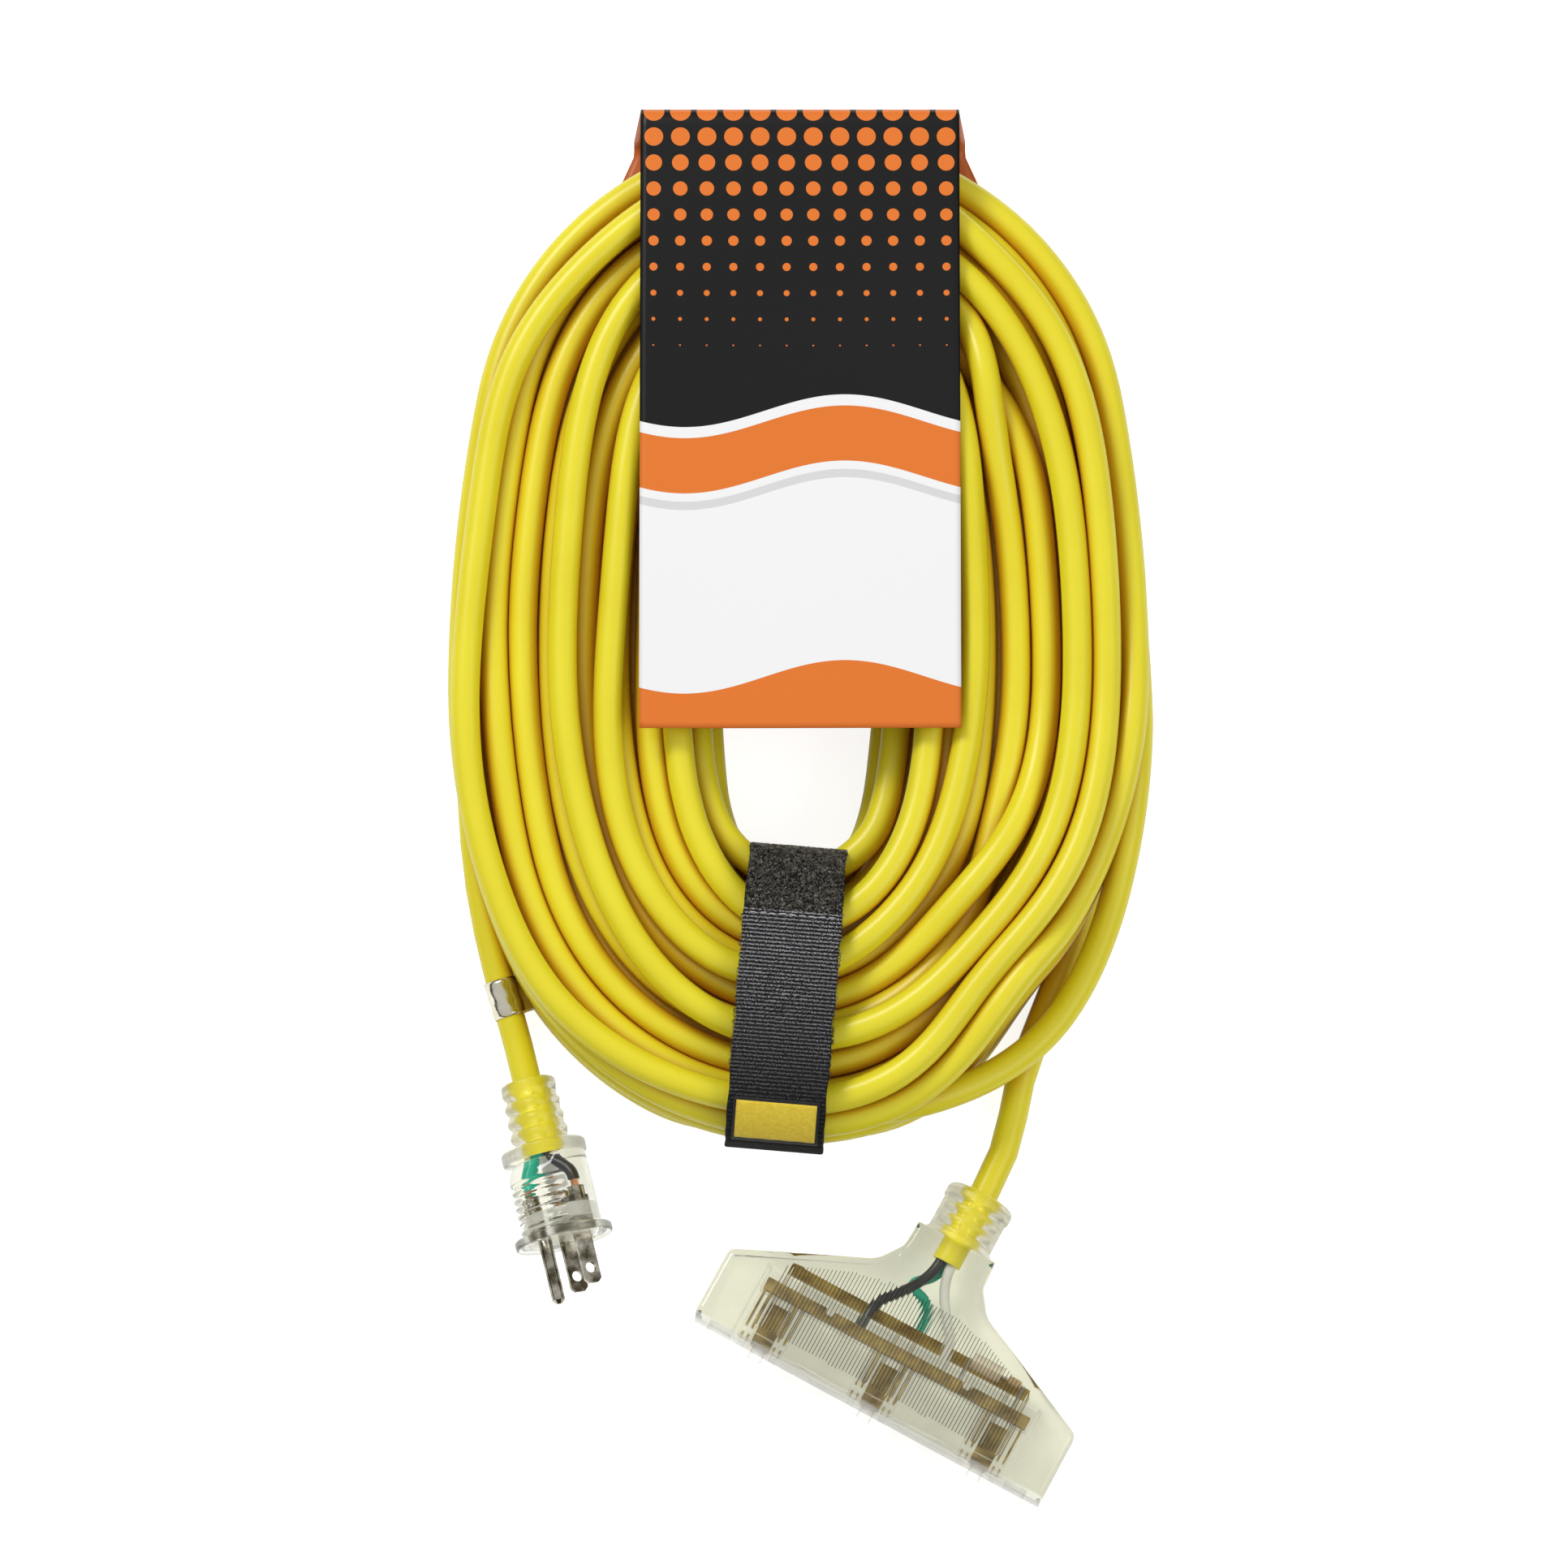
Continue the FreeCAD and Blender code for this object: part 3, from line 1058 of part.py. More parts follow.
# Hook-and-loop strap round the bundle. Its own frame: X across the strap, +Y towards the coil's middle
LOOP = "(bundle_width + 2 * facet_reach + strap_reach + seat_gap)"
HALF_LOOP = f"({LOOP} / 2 + strap_thickness)"
LOOP_TOP = "(cord_diameter + bundle_height + 2 * seat_gap + strap_thickness)"
BAND_TOP = f"({LOOP_TOP} + strap_thickness)"
STRAP_FRAME = FreeCAD.Placement(
    V(size("strap_shift"), size(f"{LOOP} / 2 - coil_half_length - facet_reach - seat_gap"), 0),
    FreeCAD.Rotation(size("strap_tilt"), 0, 0))

band = part_body("strap_band")
loop = sketch_on(band, "band_loop", "YZ_Plane")
rectangle(loop, f"-{HALF_LOOP}", HALF_LOOP, "0", BAND_TOP)
rectangle(loop, f"-{LOOP} / 2", f"{LOOP} / 2", "strap_thickness", LOOP_TOP)
pad(band, "band_form", loop, "strap_width", symmetric=True)
for name, half, radius in (("outer_bends", HALF_LOOP, "strap_bend + strap_thickness"),
                           ("inner_bends", f"{LOOP} / 2", "strap_bend")):
    round_edges(band, name, radius, lambda edge: runs_along(edge, V(1, 0, 0))
                and near(abs(edge.Vertexes[0].Point.y), size(half)))
band.Placement = STRAP_FRAME

FLAP_LOW = f"({BAND_TOP} + seat_gap)"
FLAP_TOP = f"({FLAP_LOW} + flap_thickness)"
FLAP_END = f"({HALF_LOOP} + seat_gap)"
FLAP_BEND = "(strap_bend + strap_thickness + seat_gap)"
SEAM = f"({HALF_LOOP} - seam_inset)"
flap = part_body("strap_flap")
side = sketch_on(flap, "flap_side", "YZ_Plane")
FLAP_FOOT = f"{FLAP_LOW} - {FLAP_BEND} - flap_turn_down"
outline(side, [
    (SEAM, FLAP_LOW), (SEAM, FLAP_TOP), (f"-{FLAP_END} - flap_thickness", FLAP_TOP),
    (f"-{FLAP_END} - flap_thickness", FLAP_FOOT), (f"-{FLAP_END}", FLAP_FOOT), (f"-{FLAP_END}", FLAP_LOW)])
pad(flap, "flap_form", side, "strap_width", symmetric=True)


def along_strap_at(y, z):
    def wanted(edge):
        point = edge.Vertexes[0].Point
        return runs_along(edge, V(1, 0, 0)) and near(point.y, size(y)) and near(point.z, size(z))
    return wanted


round_edges(flap, "flap_outer_bend", f"{FLAP_BEND} + flap_thickness",
            along_strap_at(f"-{FLAP_END} - flap_thickness", FLAP_TOP))
round_edges(flap, "flap_inner_bend", FLAP_BEND, along_strap_at(f"-{FLAP_END}", FLAP_LOW))
round_edges(flap, "flap_root", "flap_root_round", lambda edge: runs_along(edge, V(1, 0, 0))
            and near(edge.Vertexes[0].Point.y, size(SEAM)))
flap.Placement = STRAP_FRAME

label = part_body("strap_label")
patch = sketch_on(label, "label_patch", "XZ_Plane")
LABEL_LOW = f"{FLAP_BEND} + flap_thickness + mould_gap"
rectangle(patch, "-label_length / 2", "label_length / 2", LABEL_LOW, f"{LABEL_LOW} + label_thickness")
turned(label, "Revolution", "label_form", patch, "H_Axis", "label_sweep")
BEND_MIDDLE = V(0, size(f"{FLAP_BEND} - {FLAP_END}"), size(f"{FLAP_LOW} - {FLAP_BEND}"))
label.Placement = STRAP_FRAME.multiply(
    FreeCAD.Placement(BEND_MIDDLE, FreeCAD.Rotation(V(1, 0, 0), size("label_start"))))

stitches = part_body("seam_stitches")
stitch = sketch_on(stitches, "stitch", offset=f"{FLAP_TOP} + mould_gap / 2")
STITCH_PITCH = "strap_width / (stitch_count + 1)"
FIRST_STITCH = f"(-strap_width / 2 + {STITCH_PITCH})"
STITCH_LINE = f"({SEAM} - stitch_setback)"
rectangle(stitch, f"{FIRST_STITCH} - stitch_length / 2", f"{FIRST_STITCH} + stitch_length / 2",
          f"{STITCH_LINE} - stitch_diameter / 2", f"{STITCH_LINE} + stitch_diameter / 2")
first_stitch = pad(stitches, "stitch_form", stitch, "stitch_diameter / 2")
repeated(stitches, "stitch_row", first_stitch, stitch, "H_Axis", f"{STITCH_PITCH} * (stitch_count - 1)", "stitch_count")
stitches.Placement = STRAP_FRAME

# Card sleeve: one folded card over the coil, wider behind than in front
card = part_body("card_sleeve")
fold = sketch_on(card, "card_fold", "YZ_Plane")
CARD_LOW = "(strap_thickness + 3 * seat_gap + cord_diameter + bundle_height)"
CARD_HIGH = f"({CARD_LOW} + card_thickness)"
outline(fold, [
    ("card_top - card_back_length", "0"), ("card_top", "0"), ("card_top", CARD_HIGH),
    ("card_top - card_front_length", CARD_HIGH), ("card_top - card_front_length", CARD_LOW),
    ("card_top - card_thickness", CARD_LOW), ("card_top - card_thickness", "card_thickness"),
    ("card_top - card_back_length", "card_thickness")])
pad(card, "card_form", fold, "card_width", symmetric=True)
for name, y, radius in (("outer_creases", "card_top", "card_bend"),
                        ("inner_creases", "card_top - card_thickness", "card_bend - card_thickness")):
    round_edges(card, name, radius, lambda edge: runs_along(edge, V(1, 0, 0))
                and near(edge.Vertexes[0].Point.y, size(y)))
flare = sketch_on(card, "card_back")
outline(flare, mirrored([
    ("card_back_width / 2", "card_top - card_back_length"), ("card_back_width / 2", "card_top - card_bend - card_flare"),
    ("card_width / 2", "card_top - card_bend")]))
pad(card, "card_back_form", flare, "card_thickness")

# Every object and every sub-part is tested before anything is written
doc.recompute()
for item in doc.Objects:
    if {"Invalid", "Error"} & set(item.State):
        raise RuntimeError(f"{item.Label} failed: {item.State}")
for item in PARTS:
    if item.Shape.isNull() or not item.Shape.isValid() or not item.Shape.Solids:
        raise RuntimeError(f"{item.Label} has no valid shape")
os.makedirs("parts", exist_ok=True)
for item in PARTS:
    item.Shape.exportStep(f"parts/{item.Label}.step")
print(f"{len(PARTS)} parts written")
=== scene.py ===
"""Looks of the extension cord: the whole length of cord in its coil, the clear plug and outlet block, the
hook-and-loop strap, the printed card sleeve and the foil tag, in metres, in the part's own frame."""

import json
import math

import bmesh
import bpy
import numpy as np
from mathutils import Matrix, Vector


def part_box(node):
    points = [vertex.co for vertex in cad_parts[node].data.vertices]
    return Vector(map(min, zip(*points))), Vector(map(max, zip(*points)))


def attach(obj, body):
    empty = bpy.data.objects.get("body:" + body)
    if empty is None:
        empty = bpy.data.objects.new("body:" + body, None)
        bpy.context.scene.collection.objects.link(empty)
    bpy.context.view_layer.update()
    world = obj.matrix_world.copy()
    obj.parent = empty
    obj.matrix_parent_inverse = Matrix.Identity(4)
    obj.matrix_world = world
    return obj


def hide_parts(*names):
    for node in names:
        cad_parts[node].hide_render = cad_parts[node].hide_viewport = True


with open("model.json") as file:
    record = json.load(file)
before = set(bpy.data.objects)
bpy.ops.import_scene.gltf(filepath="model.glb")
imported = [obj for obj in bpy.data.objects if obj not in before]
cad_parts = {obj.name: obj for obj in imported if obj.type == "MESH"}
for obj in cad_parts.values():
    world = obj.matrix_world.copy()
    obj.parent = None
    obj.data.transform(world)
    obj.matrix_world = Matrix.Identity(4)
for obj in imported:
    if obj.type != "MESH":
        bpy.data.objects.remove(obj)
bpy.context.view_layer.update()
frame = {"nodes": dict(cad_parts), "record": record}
scene = bpy.context.scene
MM = 0.001
TURN = 2 * math.pi


# Small helpers
def mm(*values):
    """A point given in millimetres, in metres."""
    return Vector(values) * MM


def link(name, data):
    piece = bpy.data.objects.new(name, data)
    scene.collection.objects.link(piece)
    return piece


def lengths(rows):
    """The length of each vector in the last axis, in a column."""
    return np.linalg.norm(rows, axis=-1, keepdims=True)


def soft_step(value, low, high):
    share = np.clip((value - low) / (high - low), 0, 1)
    return share * share * (3 - 2 * share)


# Camera
FRAME_WIDTH, SENSOR_WIDTH = 0.5603, 36.0
CAMERA_DISTANCE = 3.0
CAMERA_ELEVATION = math.radians(81)
CAMERA_TARGET = mm(-5.7, -53, 25)


def make_camera():
    camera = bpy.data.cameras.new("camera")
    camera.sensor_width = SENSOR_WIDTH
    camera.lens = SENSOR_WIDTH * CAMERA_DISTANCE / FRAME_WIDTH
    camera.clip_start = 0.1
    camera.clip_end = 20
    holder = link("camera", camera)
    back = Vector((0, -math.cos(CAMERA_ELEVATION), math.sin(CAMERA_ELEVATION)))
    holder.location = CAMERA_TARGET + back * CAMERA_DISTANCE
    holder.rotation_mode = "QUATERNION"
    holder.rotation_quaternion = (-back).to_track_quat("-Z", "Y")
    scene.camera = holder


make_camera()

# The cord: one line from the outlet block's collar through the coil to the plug. The coil is worked out in
# millimetres. Angle 0 is the coil's left side, a quarter turn its top, and depth runs inward from the
# outermost strand
CORD_DIAMETER, CORD_LENGTH = 10.5, 30.48
HALF_WIDTH, HALF_LENGTH, WAIST = 119.9, 176.7, 20.0
TOP_RADIUS, BOTTOM_RADIUS = 112.0, 110.0
TOP, BOTTOM = 0.25 * TURN, 0.75 * TURN
RIM_ANGLES = TURN * np.arange(720) / 720
BUNDLE_WIDTH = 80.0
BAND_OVER = 2.3
LOWEST = 7.6
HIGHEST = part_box("strap_band")[1][2] / MM - BAND_OVER - CORD_DIAMETER / 2
STATIONS, POINT_STEP, END_TRIM = 84, 8.5, 3
LANES, ROWS = 8, 6
LANE_PITCH = BUNDLE_WIDTH / (LANES - 0.5)
ROW_PITCH = (HIGHEST - LOWEST) / (ROWS - 1)
TOP_LANE_SHIFT = 0.8
OPEN_CELL = (LANES - 1, ROWS - 2)
CHANGE_START, CHANGE_END = 0.13, 0.37
COIL_SEED, STRAP_SEED, TAG_SEED = 11, 5, 9
TINY = 1e-9

# How far the strands of each row wander, in which waves, and how much strap and sleeve hold them
SWAY = (0.5, 0.5, 0.5, 1.5, 4.0, 5.5)
SWAY_WAVES = ((0.61, 1.0), (1.37, 0.8), (2.23, 0.45), (3.41, 0.2))
SWAY_WARP, SWAY_WARP_RATE, SWAY_OVER = 1.5, 0.23, 3.0
STRAP_HOLD, STRAP_HOLD_SPAN = 0.85, 0.5
SLEEVE_HOLD, SLEEVE_HOLD_SPAN = 0.45, 0.6

# One of the outermost turns hangs loose at the lower right, and its neighbours leave it room
LOOSE_CORNER, LOOSE_SPAN, LOOSE_TURN = math.radians(218), 0.42, 1
LOOSE_REACH, LOOSE_ROOM, LOOSE_GAP, LOOSE_NEAR = 8.0, 2.0, 13.0, 0.3
LOOSE_DROP, LOOSE_DROP_SPAN, LOOSE_PUSH = 7.0, 0.5, 9.0
RIM_SLACK, UNBOUND = 0.3, 1000.0

# How the strands are moved until they lie on each other
ROUNDS, WEIGHT, SEARCH_EVERY = 110, 0.14, 5
PAIR_REACH, PAIR_APART, BATCH, RIM_PARTS = 1.6 * CORD_DIAMETER, 3 * CORD_DIAMETER, 400, 12
TOUCH_SHARE, PUSH_SHARE, STIFFNESS, STRETCH_SHARE = 0.62, 0.6, 0.5, 0.25
LEAST_BEND, EASING, EASE_SHARE = 27.0, 60, 0.4
SQUEEZE, TIE_HALF, TIE_TOP = 0.9, 24.0, -60.0

PLUG_ROUTE = [
    mm(-97.3, -158.9, 13.6), mm(-101.72, -140.51, 12.2), mm(-109.0, -117.0, 13.2), mm(-115.5, -86.0, 15.2),
    mm(-118.0, -51.5, 20.2)]
BLOCK_ROUTE = [
    mm(64.99, -200.0, 12.98), mm(74.52, -182.45, 11.99), mm(77.5, -159.0, 8.8), mm(89.5, -128.0, 6.6),
    mm(106.0, -88.0, 6.6), mm(114.5, -52.0, 7.5)]


def oval(angle, depth):
    """Places at a depth inward from the outermost strand's oval, made of four arcs."""
    outward = np.stack([-np.cos(angle), np.sin(angle)], axis=-1)
    top = outward[..., 1] >= 0
    end = np.where(top, TOP_RADIUS, BOTTOM_RADIUS)
    sign = np.where(top, 1.0, -1.0)
    rise = HALF_LENGTH - end + sign * WAIST
    side = (HALF_WIDTH ** 2 + rise ** 2 - end ** 2) / (2 * (HALF_WIDTH - end))
    side_angle = np.arcsin(rise / (side - end))
    on_end = np.abs(np.arcsin(outward[..., 1])) > side_angle
    centre_x = np.where(on_end, 0.0, np.sign(outward[..., 0]) * (HALF_WIDTH - side))
    centre_y = np.where(on_end, sign * (HALF_LENGTH - end), -WAIST)
    radius = np.where(on_end, end, side) - depth
    return np.stack([centre_x + radius * outward[..., 0], centre_y + radius * outward[..., 1]], axis=-1)


def near_angle(angle, centre, reach):
    """1 at an angle of the coil, falling smoothly to 0 on both sides of it."""
    return np.exp(-((np.mod(angle - centre + math.pi, TURN) - math.pi) / reach) ** 2)


def turn_cells():
    """Depth, height and sway of each turn from the plug: up and down the lanes, then out along row 0."""
    cells = []
    for lane in range(LANES):
        rows = list(range(1, ROWS - 1))
        upward = lane % 2 == 0
        for row in rows if upward else rows[::-1]:
            if (lane, row) != OPEN_CELL:
                cells.append((lane + 0.5 * (row % 2), row))
        if upward:
            cells.append((lane + TOP_LANE_SHIFT, ROWS - 1))
    cells += [(lane, 0) for lane in range(LANES)[::-1]]
    return np.array([(lane * LANE_PITCH, LOWEST + row * ROW_PITCH, SWAY[row]) for lane, row in cells])


def turn_lines(cells, rng):
    """The cord's angle, depth and height at every station, with each change of cell near the top, and
    whether the station is on the loose turn."""
    share = soft_step(np.arange(STATIONS) / STATIONS, CHANGE_START, CHANGE_END)
    after = np.vstack([cells[1:], cells[-1:]])
    depth, height, reach = (cells[:, None] + (after - cells)[:, None] * share[:, None]).reshape(-1, 3).T
    along = np.arange(len(depth)) / STATIONS
    angle = TURN * along
    sway = np.zeros(len(depth))
    for waves, part in SWAY_WAVES:
        sway += part * np.sin(TURN * (waves * along + rng.random())
                              + SWAY_WARP * np.sin(TURN * (SWAY_WARP_RATE * along + rng.random())))
    free = 1 - STRAP_HOLD * near_angle(angle, BOTTOM, STRAP_HOLD_SPAN)
    free = free - SLEEVE_HOLD * near_angle(angle, TOP, SLEEVE_HOLD_SPAN)
    depth = np.clip(depth + sway * free * reach, 0, BUNDLE_WIDTH + SWAY_OVER)
    corner = near_angle(angle, LOOSE_CORNER, LOOSE_SPAN)
    on_loop = np.abs(along - (LOOSE_TURN + LOOSE_CORNER / TURN)) < 0.5
    pushed = depth + corner * LOOSE_PUSH * (1 - depth / BUNDLE_WIDTH)
    depth = np.where(on_loop, depth - LOOSE_REACH * corner, pushed)
    drop = LOOSE_DROP * near_angle(angle, LOOSE_CORNER, LOOSE_DROP_SPAN)
    return angle, depth, np.where(on_loop, height - drop, height), on_loop


def evenly(points, step):
    """Rows of points, with whatever columns follow their places, at even steps along their line."""
    along = np.concatenate([[0], np.cumsum(lengths(np.diff(points[:, :3], axis=0)))])
    places = np.linspace(0, along[-1], int(round(along[-1] / step)) + 1)
    return np.column_stack([np.interp(places, along, column) for column in points.T])


def near_pairs(points, apart):
    """Pairs of points near each other that lie at least apart steps from each other along the cord."""
    first, second = [], []
    for start in range(0, len(points), BATCH):
        here, there = points[start:start + BATCH], points[start:]
        square = ((here[:, None, :] - there[None, :, :]) ** 2).sum(axis=2)
        i, j = np.nonzero(square < PAIR_REACH ** 2)
        keep = j - i >= apart
        first.append(i[keep] + start)
        second.append(j[keep] + start)
    return np.concatenate(first), np.concatenate(second)


STRAP_TILT = math.radians(-4.77)
STRAP_MIDDLE = np.array([-4.8, -131.25])
STRAP_HALF_LOOP, STRAP_BEND = 51.25, 20.0
STRAP_NEAR, STRAP_FADE, STRAP_SPAN = 30, 12, 75


def inside_strap(points, movable):
    """Keeps the strands inside the strap's loop, a rounded rectangle across the bundle."""
    across = np.array([math.cos(STRAP_TILT), math.sin(STRAP_TILT)])
    along = np.array([-across[1], across[0]])
    ground = points[:, :2] - STRAP_MIDDLE
    local = np.column_stack([ground @ along, points[:, 2] - (HIGHEST + LOWEST) / 2])
    near = np.clip((STRAP_NEAR - np.abs(ground @ across)) / STRAP_FADE, 0, 1)
    near = near * (np.abs(local[:, 0]) < STRAP_SPAN) * movable
    corner = STRAP_BEND - CORD_DIAMETER / 2
    half = np.array([STRAP_HALF_LOOP - CORD_DIAMETER / 2, (HIGHEST - LOWEST) / 2])
    beyond = np.maximum(np.abs(local) - (half - corner), 0)
    distance = np.linalg.norm(beyond, axis=1)
    over = np.maximum(distance - corner, 0) * near * 0.5
    push = beyond * np.sign(local) * (over / (distance + TINY))[:, None]
    points[:, :2] -= push[:, :1] * along
    points[:, 2] -= push[:, 1]


def unbent(points, free, step):
    """Points moved a little towards straight where the cord bends more tightly than it can."""
    most = step ** 2 / LEAST_BEND
    bend = points[:-2] - 2 * points[1:-1] + points[2:]
    excess = bend * np.maximum(1 - most / (lengths(bend) + TINY), 0)
    move = np.zeros_like(points)
    move[1:-1] += 0.25 * excess
    move[:-2] -= 0.125 * excess
    move[2:] -= 0.125 * excess
    return points + free * move


def within_oval(points, rim, nearest, least, most):
    """Points kept between two depths inside the coil's oval, each by the stretch of oval nearest to it."""
    inward = (oval(RIM_ANGLES, 1.0) - rim)[nearest]
    depth = ((points[:, :2] - rim[nearest]) * inward).sum(axis=1)
    points[:, :2] += inward * (np.maximum(least - depth, 0) - np.maximum(depth - most, 0))[:, None]


def eased(points, free):
    """Points averaged with their neighbours where the cord still bends too tightly."""
    for _ in range(EASING):
        before, after = points[1:-1] - points[:-2], points[2:] - points[1:-1]
        span = np.linalg.norm(points[2:] - points[:-2], axis=1)
        turn = np.linalg.norm(np.cross(before, after), axis=1)
        sides = np.linalg.norm(before, axis=1) * np.linalg.norm(after, axis=1)
        tight = np.zeros(len(points))
        tight[1:-1] = 2 * turn * LEAST_BEND > sides * span
        tight[1:-1] = np.maximum(tight[1:-1], np.maximum(tight[:-2], tight[2:]))
        middle = points.copy()
        middle[1:-1] = 0.5 * (points[:-2] + points[2:])
        points = points + free * EASE_SHARE * tight[:, None] * (middle - points)
    return points


def relaxed(points, movable, least, most):
    """Points moved until strands lie on each other without sinking in, as a stiff, heavy cord does."""
    step = lengths(np.diff(points, axis=0)).mean()
    free = movable[:, None].astype(float)
    rim = oval(RIM_ANGLES, 0.0)
    for number in range(ROUNDS):
        if number % SEARCH_EVERY == 0:
            i, j = near_pairs(points, int(PAIR_APART / step))
            nearest = np.concatenate([((block[:, None, :2] - rim[None]) ** 2).sum(axis=2).argmin(axis=1)
                                      for block in np.array_split(points, RIM_PARTS)])
        tied = np.exp(-(((points[:, 0] - STRAP_MIDDLE[0]) / TIE_HALF) ** 4)) * (points[:, 1] < TIE_TOP)
        thick = CORD_DIAMETER - SQUEEZE * np.minimum(tied[i], tied[j])
        heading = np.gradient(points, axis=0)
        heading /= lengths(heading)
        offset = points[j] - points[i]
        mean = heading[i] * np.sign((heading[i] * heading[j]).sum(axis=1, keepdims=True)) + heading[j]
        mean /= lengths(mean) + TINY
        lengthways = (offset * mean).sum(axis=1, keepdims=True)
        across = offset - mean * lengthways
        distance = np.linalg.norm(across, axis=1) + TINY
        sunk = (np.abs(lengthways[:, 0]) < TOUCH_SHARE * step) & (distance < thick)
        push = across / distance[:, None] * np.where(sunk, thick - distance, 0.0)[:, None] * PUSH_SHARE
        move = np.zeros_like(points)
        touches = np.zeros(len(points))
        np.add.at(move, i, -push)
        np.add.at(move, j, push)
        np.add.at(touches, i, sunk)
        np.add.at(touches, j, sunk)
        points = points + free * move / np.maximum(touches, 1)[:, None]
        points[:, 2] -= free[:, 0] * WEIGHT * (1 - number / ROUNDS)
        for _ in range(2):
            bend = np.zeros_like(points)
            bend[1:-1] = 0.5 * (points[:-2] + points[2:]) - points[1:-1]
            stiff = np.zeros_like(points)
            stiff[1:-1] = bend[1:-1] - 0.5 * (bend[:-2] + bend[2:])
            points = points + free * STIFFNESS * stiff
        span = points[1:] - points[:-1]
        length = lengths(span)
        fix = span / length * (length - step) * STRETCH_SHARE
        points[:-1] += free[:-1] * fix
        points[1:] -= free[1:] * fix
        for _ in range(3):
            points = unbent(points, free, step)
        held = points.copy()
        within_oval(points, rim, nearest, least, most)
        points[:, 2] = np.clip(points[:, 2], LOWEST, HIGHEST)
        points = np.where(movable[:, None], points, held)
        inside_strap(points, movable)
    return eased(points, free)


def coil_points():
    """The coil's points from the plug's tail to the block's tail."""
    angle, depth, height, on_loop = turn_lines(turn_cells(), np.random.default_rng(COIL_SEED))
    corner = near_angle(angle, LOOSE_CORNER, LOOSE_SPAN)
    least = np.where(on_loop, -LOOSE_REACH, LOOSE_GAP) * corner - RIM_SLACK
    most = np.where(on_loop & (corner > LOOSE_NEAR), LOOSE_ROOM - LOOSE_REACH * corner, UNBOUND)
    coil = np.column_stack([oval(angle, depth), height, least, most])[END_TRIM:-STATIONS // 2 - END_TRIM]
    coil = evenly(coil, POINT_STEP)
    first, last = [evenly(np.array([point / MM for point in route]), POINT_STEP)
                   for route in (PLUG_ROUTE, BLOCK_ROUTE[::-1])]
    ends = len(first), len(last)
    movable = np.pad(np.ones(len(coil), bool), ends)
    least = np.pad(coil[:, 3], ends, constant_values=-UNBOUND)
    most = np.pad(coil[:, 4], ends, constant_values=UNBOUND)
    return relaxed(np.vstack([first, coil[:, :3], last]), movable, least, most)[movable]


def cord_curve(name, points, radius, resolution=2):
    curve = bpy.data.curves.new(name, "CURVE")
    curve.dimensions = "3D"
    curve.bevel_depth = 1.0
    curve.bevel_resolution = 6
    curve.resolution_u = resolution
    curve.use_fill_caps = True
    spline = curve.splines.new("NURBS")
    spline.points.add(len(points) - 1)
    for point, place in zip(spline.points, points):
        point.co = (*place, 1)
        point.radius = radius
    spline.order_u = 3
    spline.use_endpoint_u = True
    return link(name, curve)


def make_cord():
    coil = [Vector(point) * MM for point in coil_points()]
    return cord_curve("cord", BLOCK_ROUTE + coil[::-1] + PLUG_ROUTE[::-1], CORD_DIAMETER / 2 * MM)


cord = make_cord()
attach(cord, "root")
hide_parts("cord_coil", "coil_core", "plug_tail", "block_tail")


# Helpers for pieces, whose points are worked out in millimetres
def frame_at(origin, forward, sideways):
    """A place and turn whose X points forward and whose Y lies nearest to sideways."""
    x = Vector(forward).normalized()
    z = x.cross(Vector(sideways)).normalized()
    turn = Matrix((x, z.cross(x), z)).transposed().to_4x4()
    turn.translation = Vector(origin)
    return turn


def placed(points, place):
    """Points in millimetres in a frame, as points in metres."""
    matrix = np.array(place)
    return np.asarray(points, float) @ matrix[:3, :3].T * MM + matrix[:3, 3]


def rounded(corners, step, closed=False):
    """Points along a line through corners (x, y, rounding), at most a step apart."""
    line = []
    for index, (x, y, rounding) in enumerate(corners):
        here = np.array((x, y), float)
        if rounding == 0:
            line.append(here)
            continue
        sides = [np.array(corners[other % len(corners)][:2]) - here for other in (index - 1, index + 1)]
        before, after = [side / lengths(side) for side in sides]
        turn = math.pi - math.acos(np.clip(before @ after, -1, 1))
        middle = here + (before + after) / lengths(before + after) * rounding / math.cos(turn / 2)
        start, end = [here + way * rounding * math.tan(turn / 2) - middle for way in (before, after)]
        first = math.atan2(start[1], start[0])
        sweep = (math.atan2(end[1], end[0]) - first + math.pi) % TURN - math.pi
        pieces = max(3, math.ceil(rounding * abs(sweep) / step))
        for piece in range(pieces + 1):
            angle = first + sweep * piece / pieces
            line.append(middle + rounding * np.array((math.cos(angle), math.sin(angle))))
    if closed:
        line.append(line[0])
    points = [line[0]]
    for a, b in zip(line, line[1:]):
        pieces = max(1, math.ceil(np.linalg.norm(b - a) / step))
        points += [a + (b - a) * piece / pieces for piece in range(1, pieces + 1)]
    return np.array(points[:-1] if closed else points)


def grid_faces(rows, columns, round_rows=False, round_columns=False, start=0):
    faces = []
    for row in range(rows if round_rows else rows - 1):
        for column in range(columns if round_columns else columns - 1):
            corners = ((row, column), (row, column + 1), (row + 1, column + 1), (row + 1, column))
            faces.append(tuple(start + r % rows * columns + c % columns for r, c in corners))
    return faces


def mesh_piece(name, points, faces, materials, body="root", sides=None):
    """A smooth closed mesh from points in metres; sides gives each face's material."""
    mesh = bpy.data.meshes.new(name)
    mesh.from_pydata([tuple(point) for point in points], [], faces)
    if sides:
        mesh.polygons.foreach_set("material_index", sides)
    shape = bmesh.new()
    shape.from_mesh(mesh)
    bmesh.ops.recalc_face_normals(shape, faces=shape.faces)
    shape.to_mesh(mesh)
    shape.free()
    for material in materials:
        mesh.materials.append(material)
    mesh.shade_smooth()
    piece = link(name, mesh)
    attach(piece, body)
    return piece


SECTORS = 96


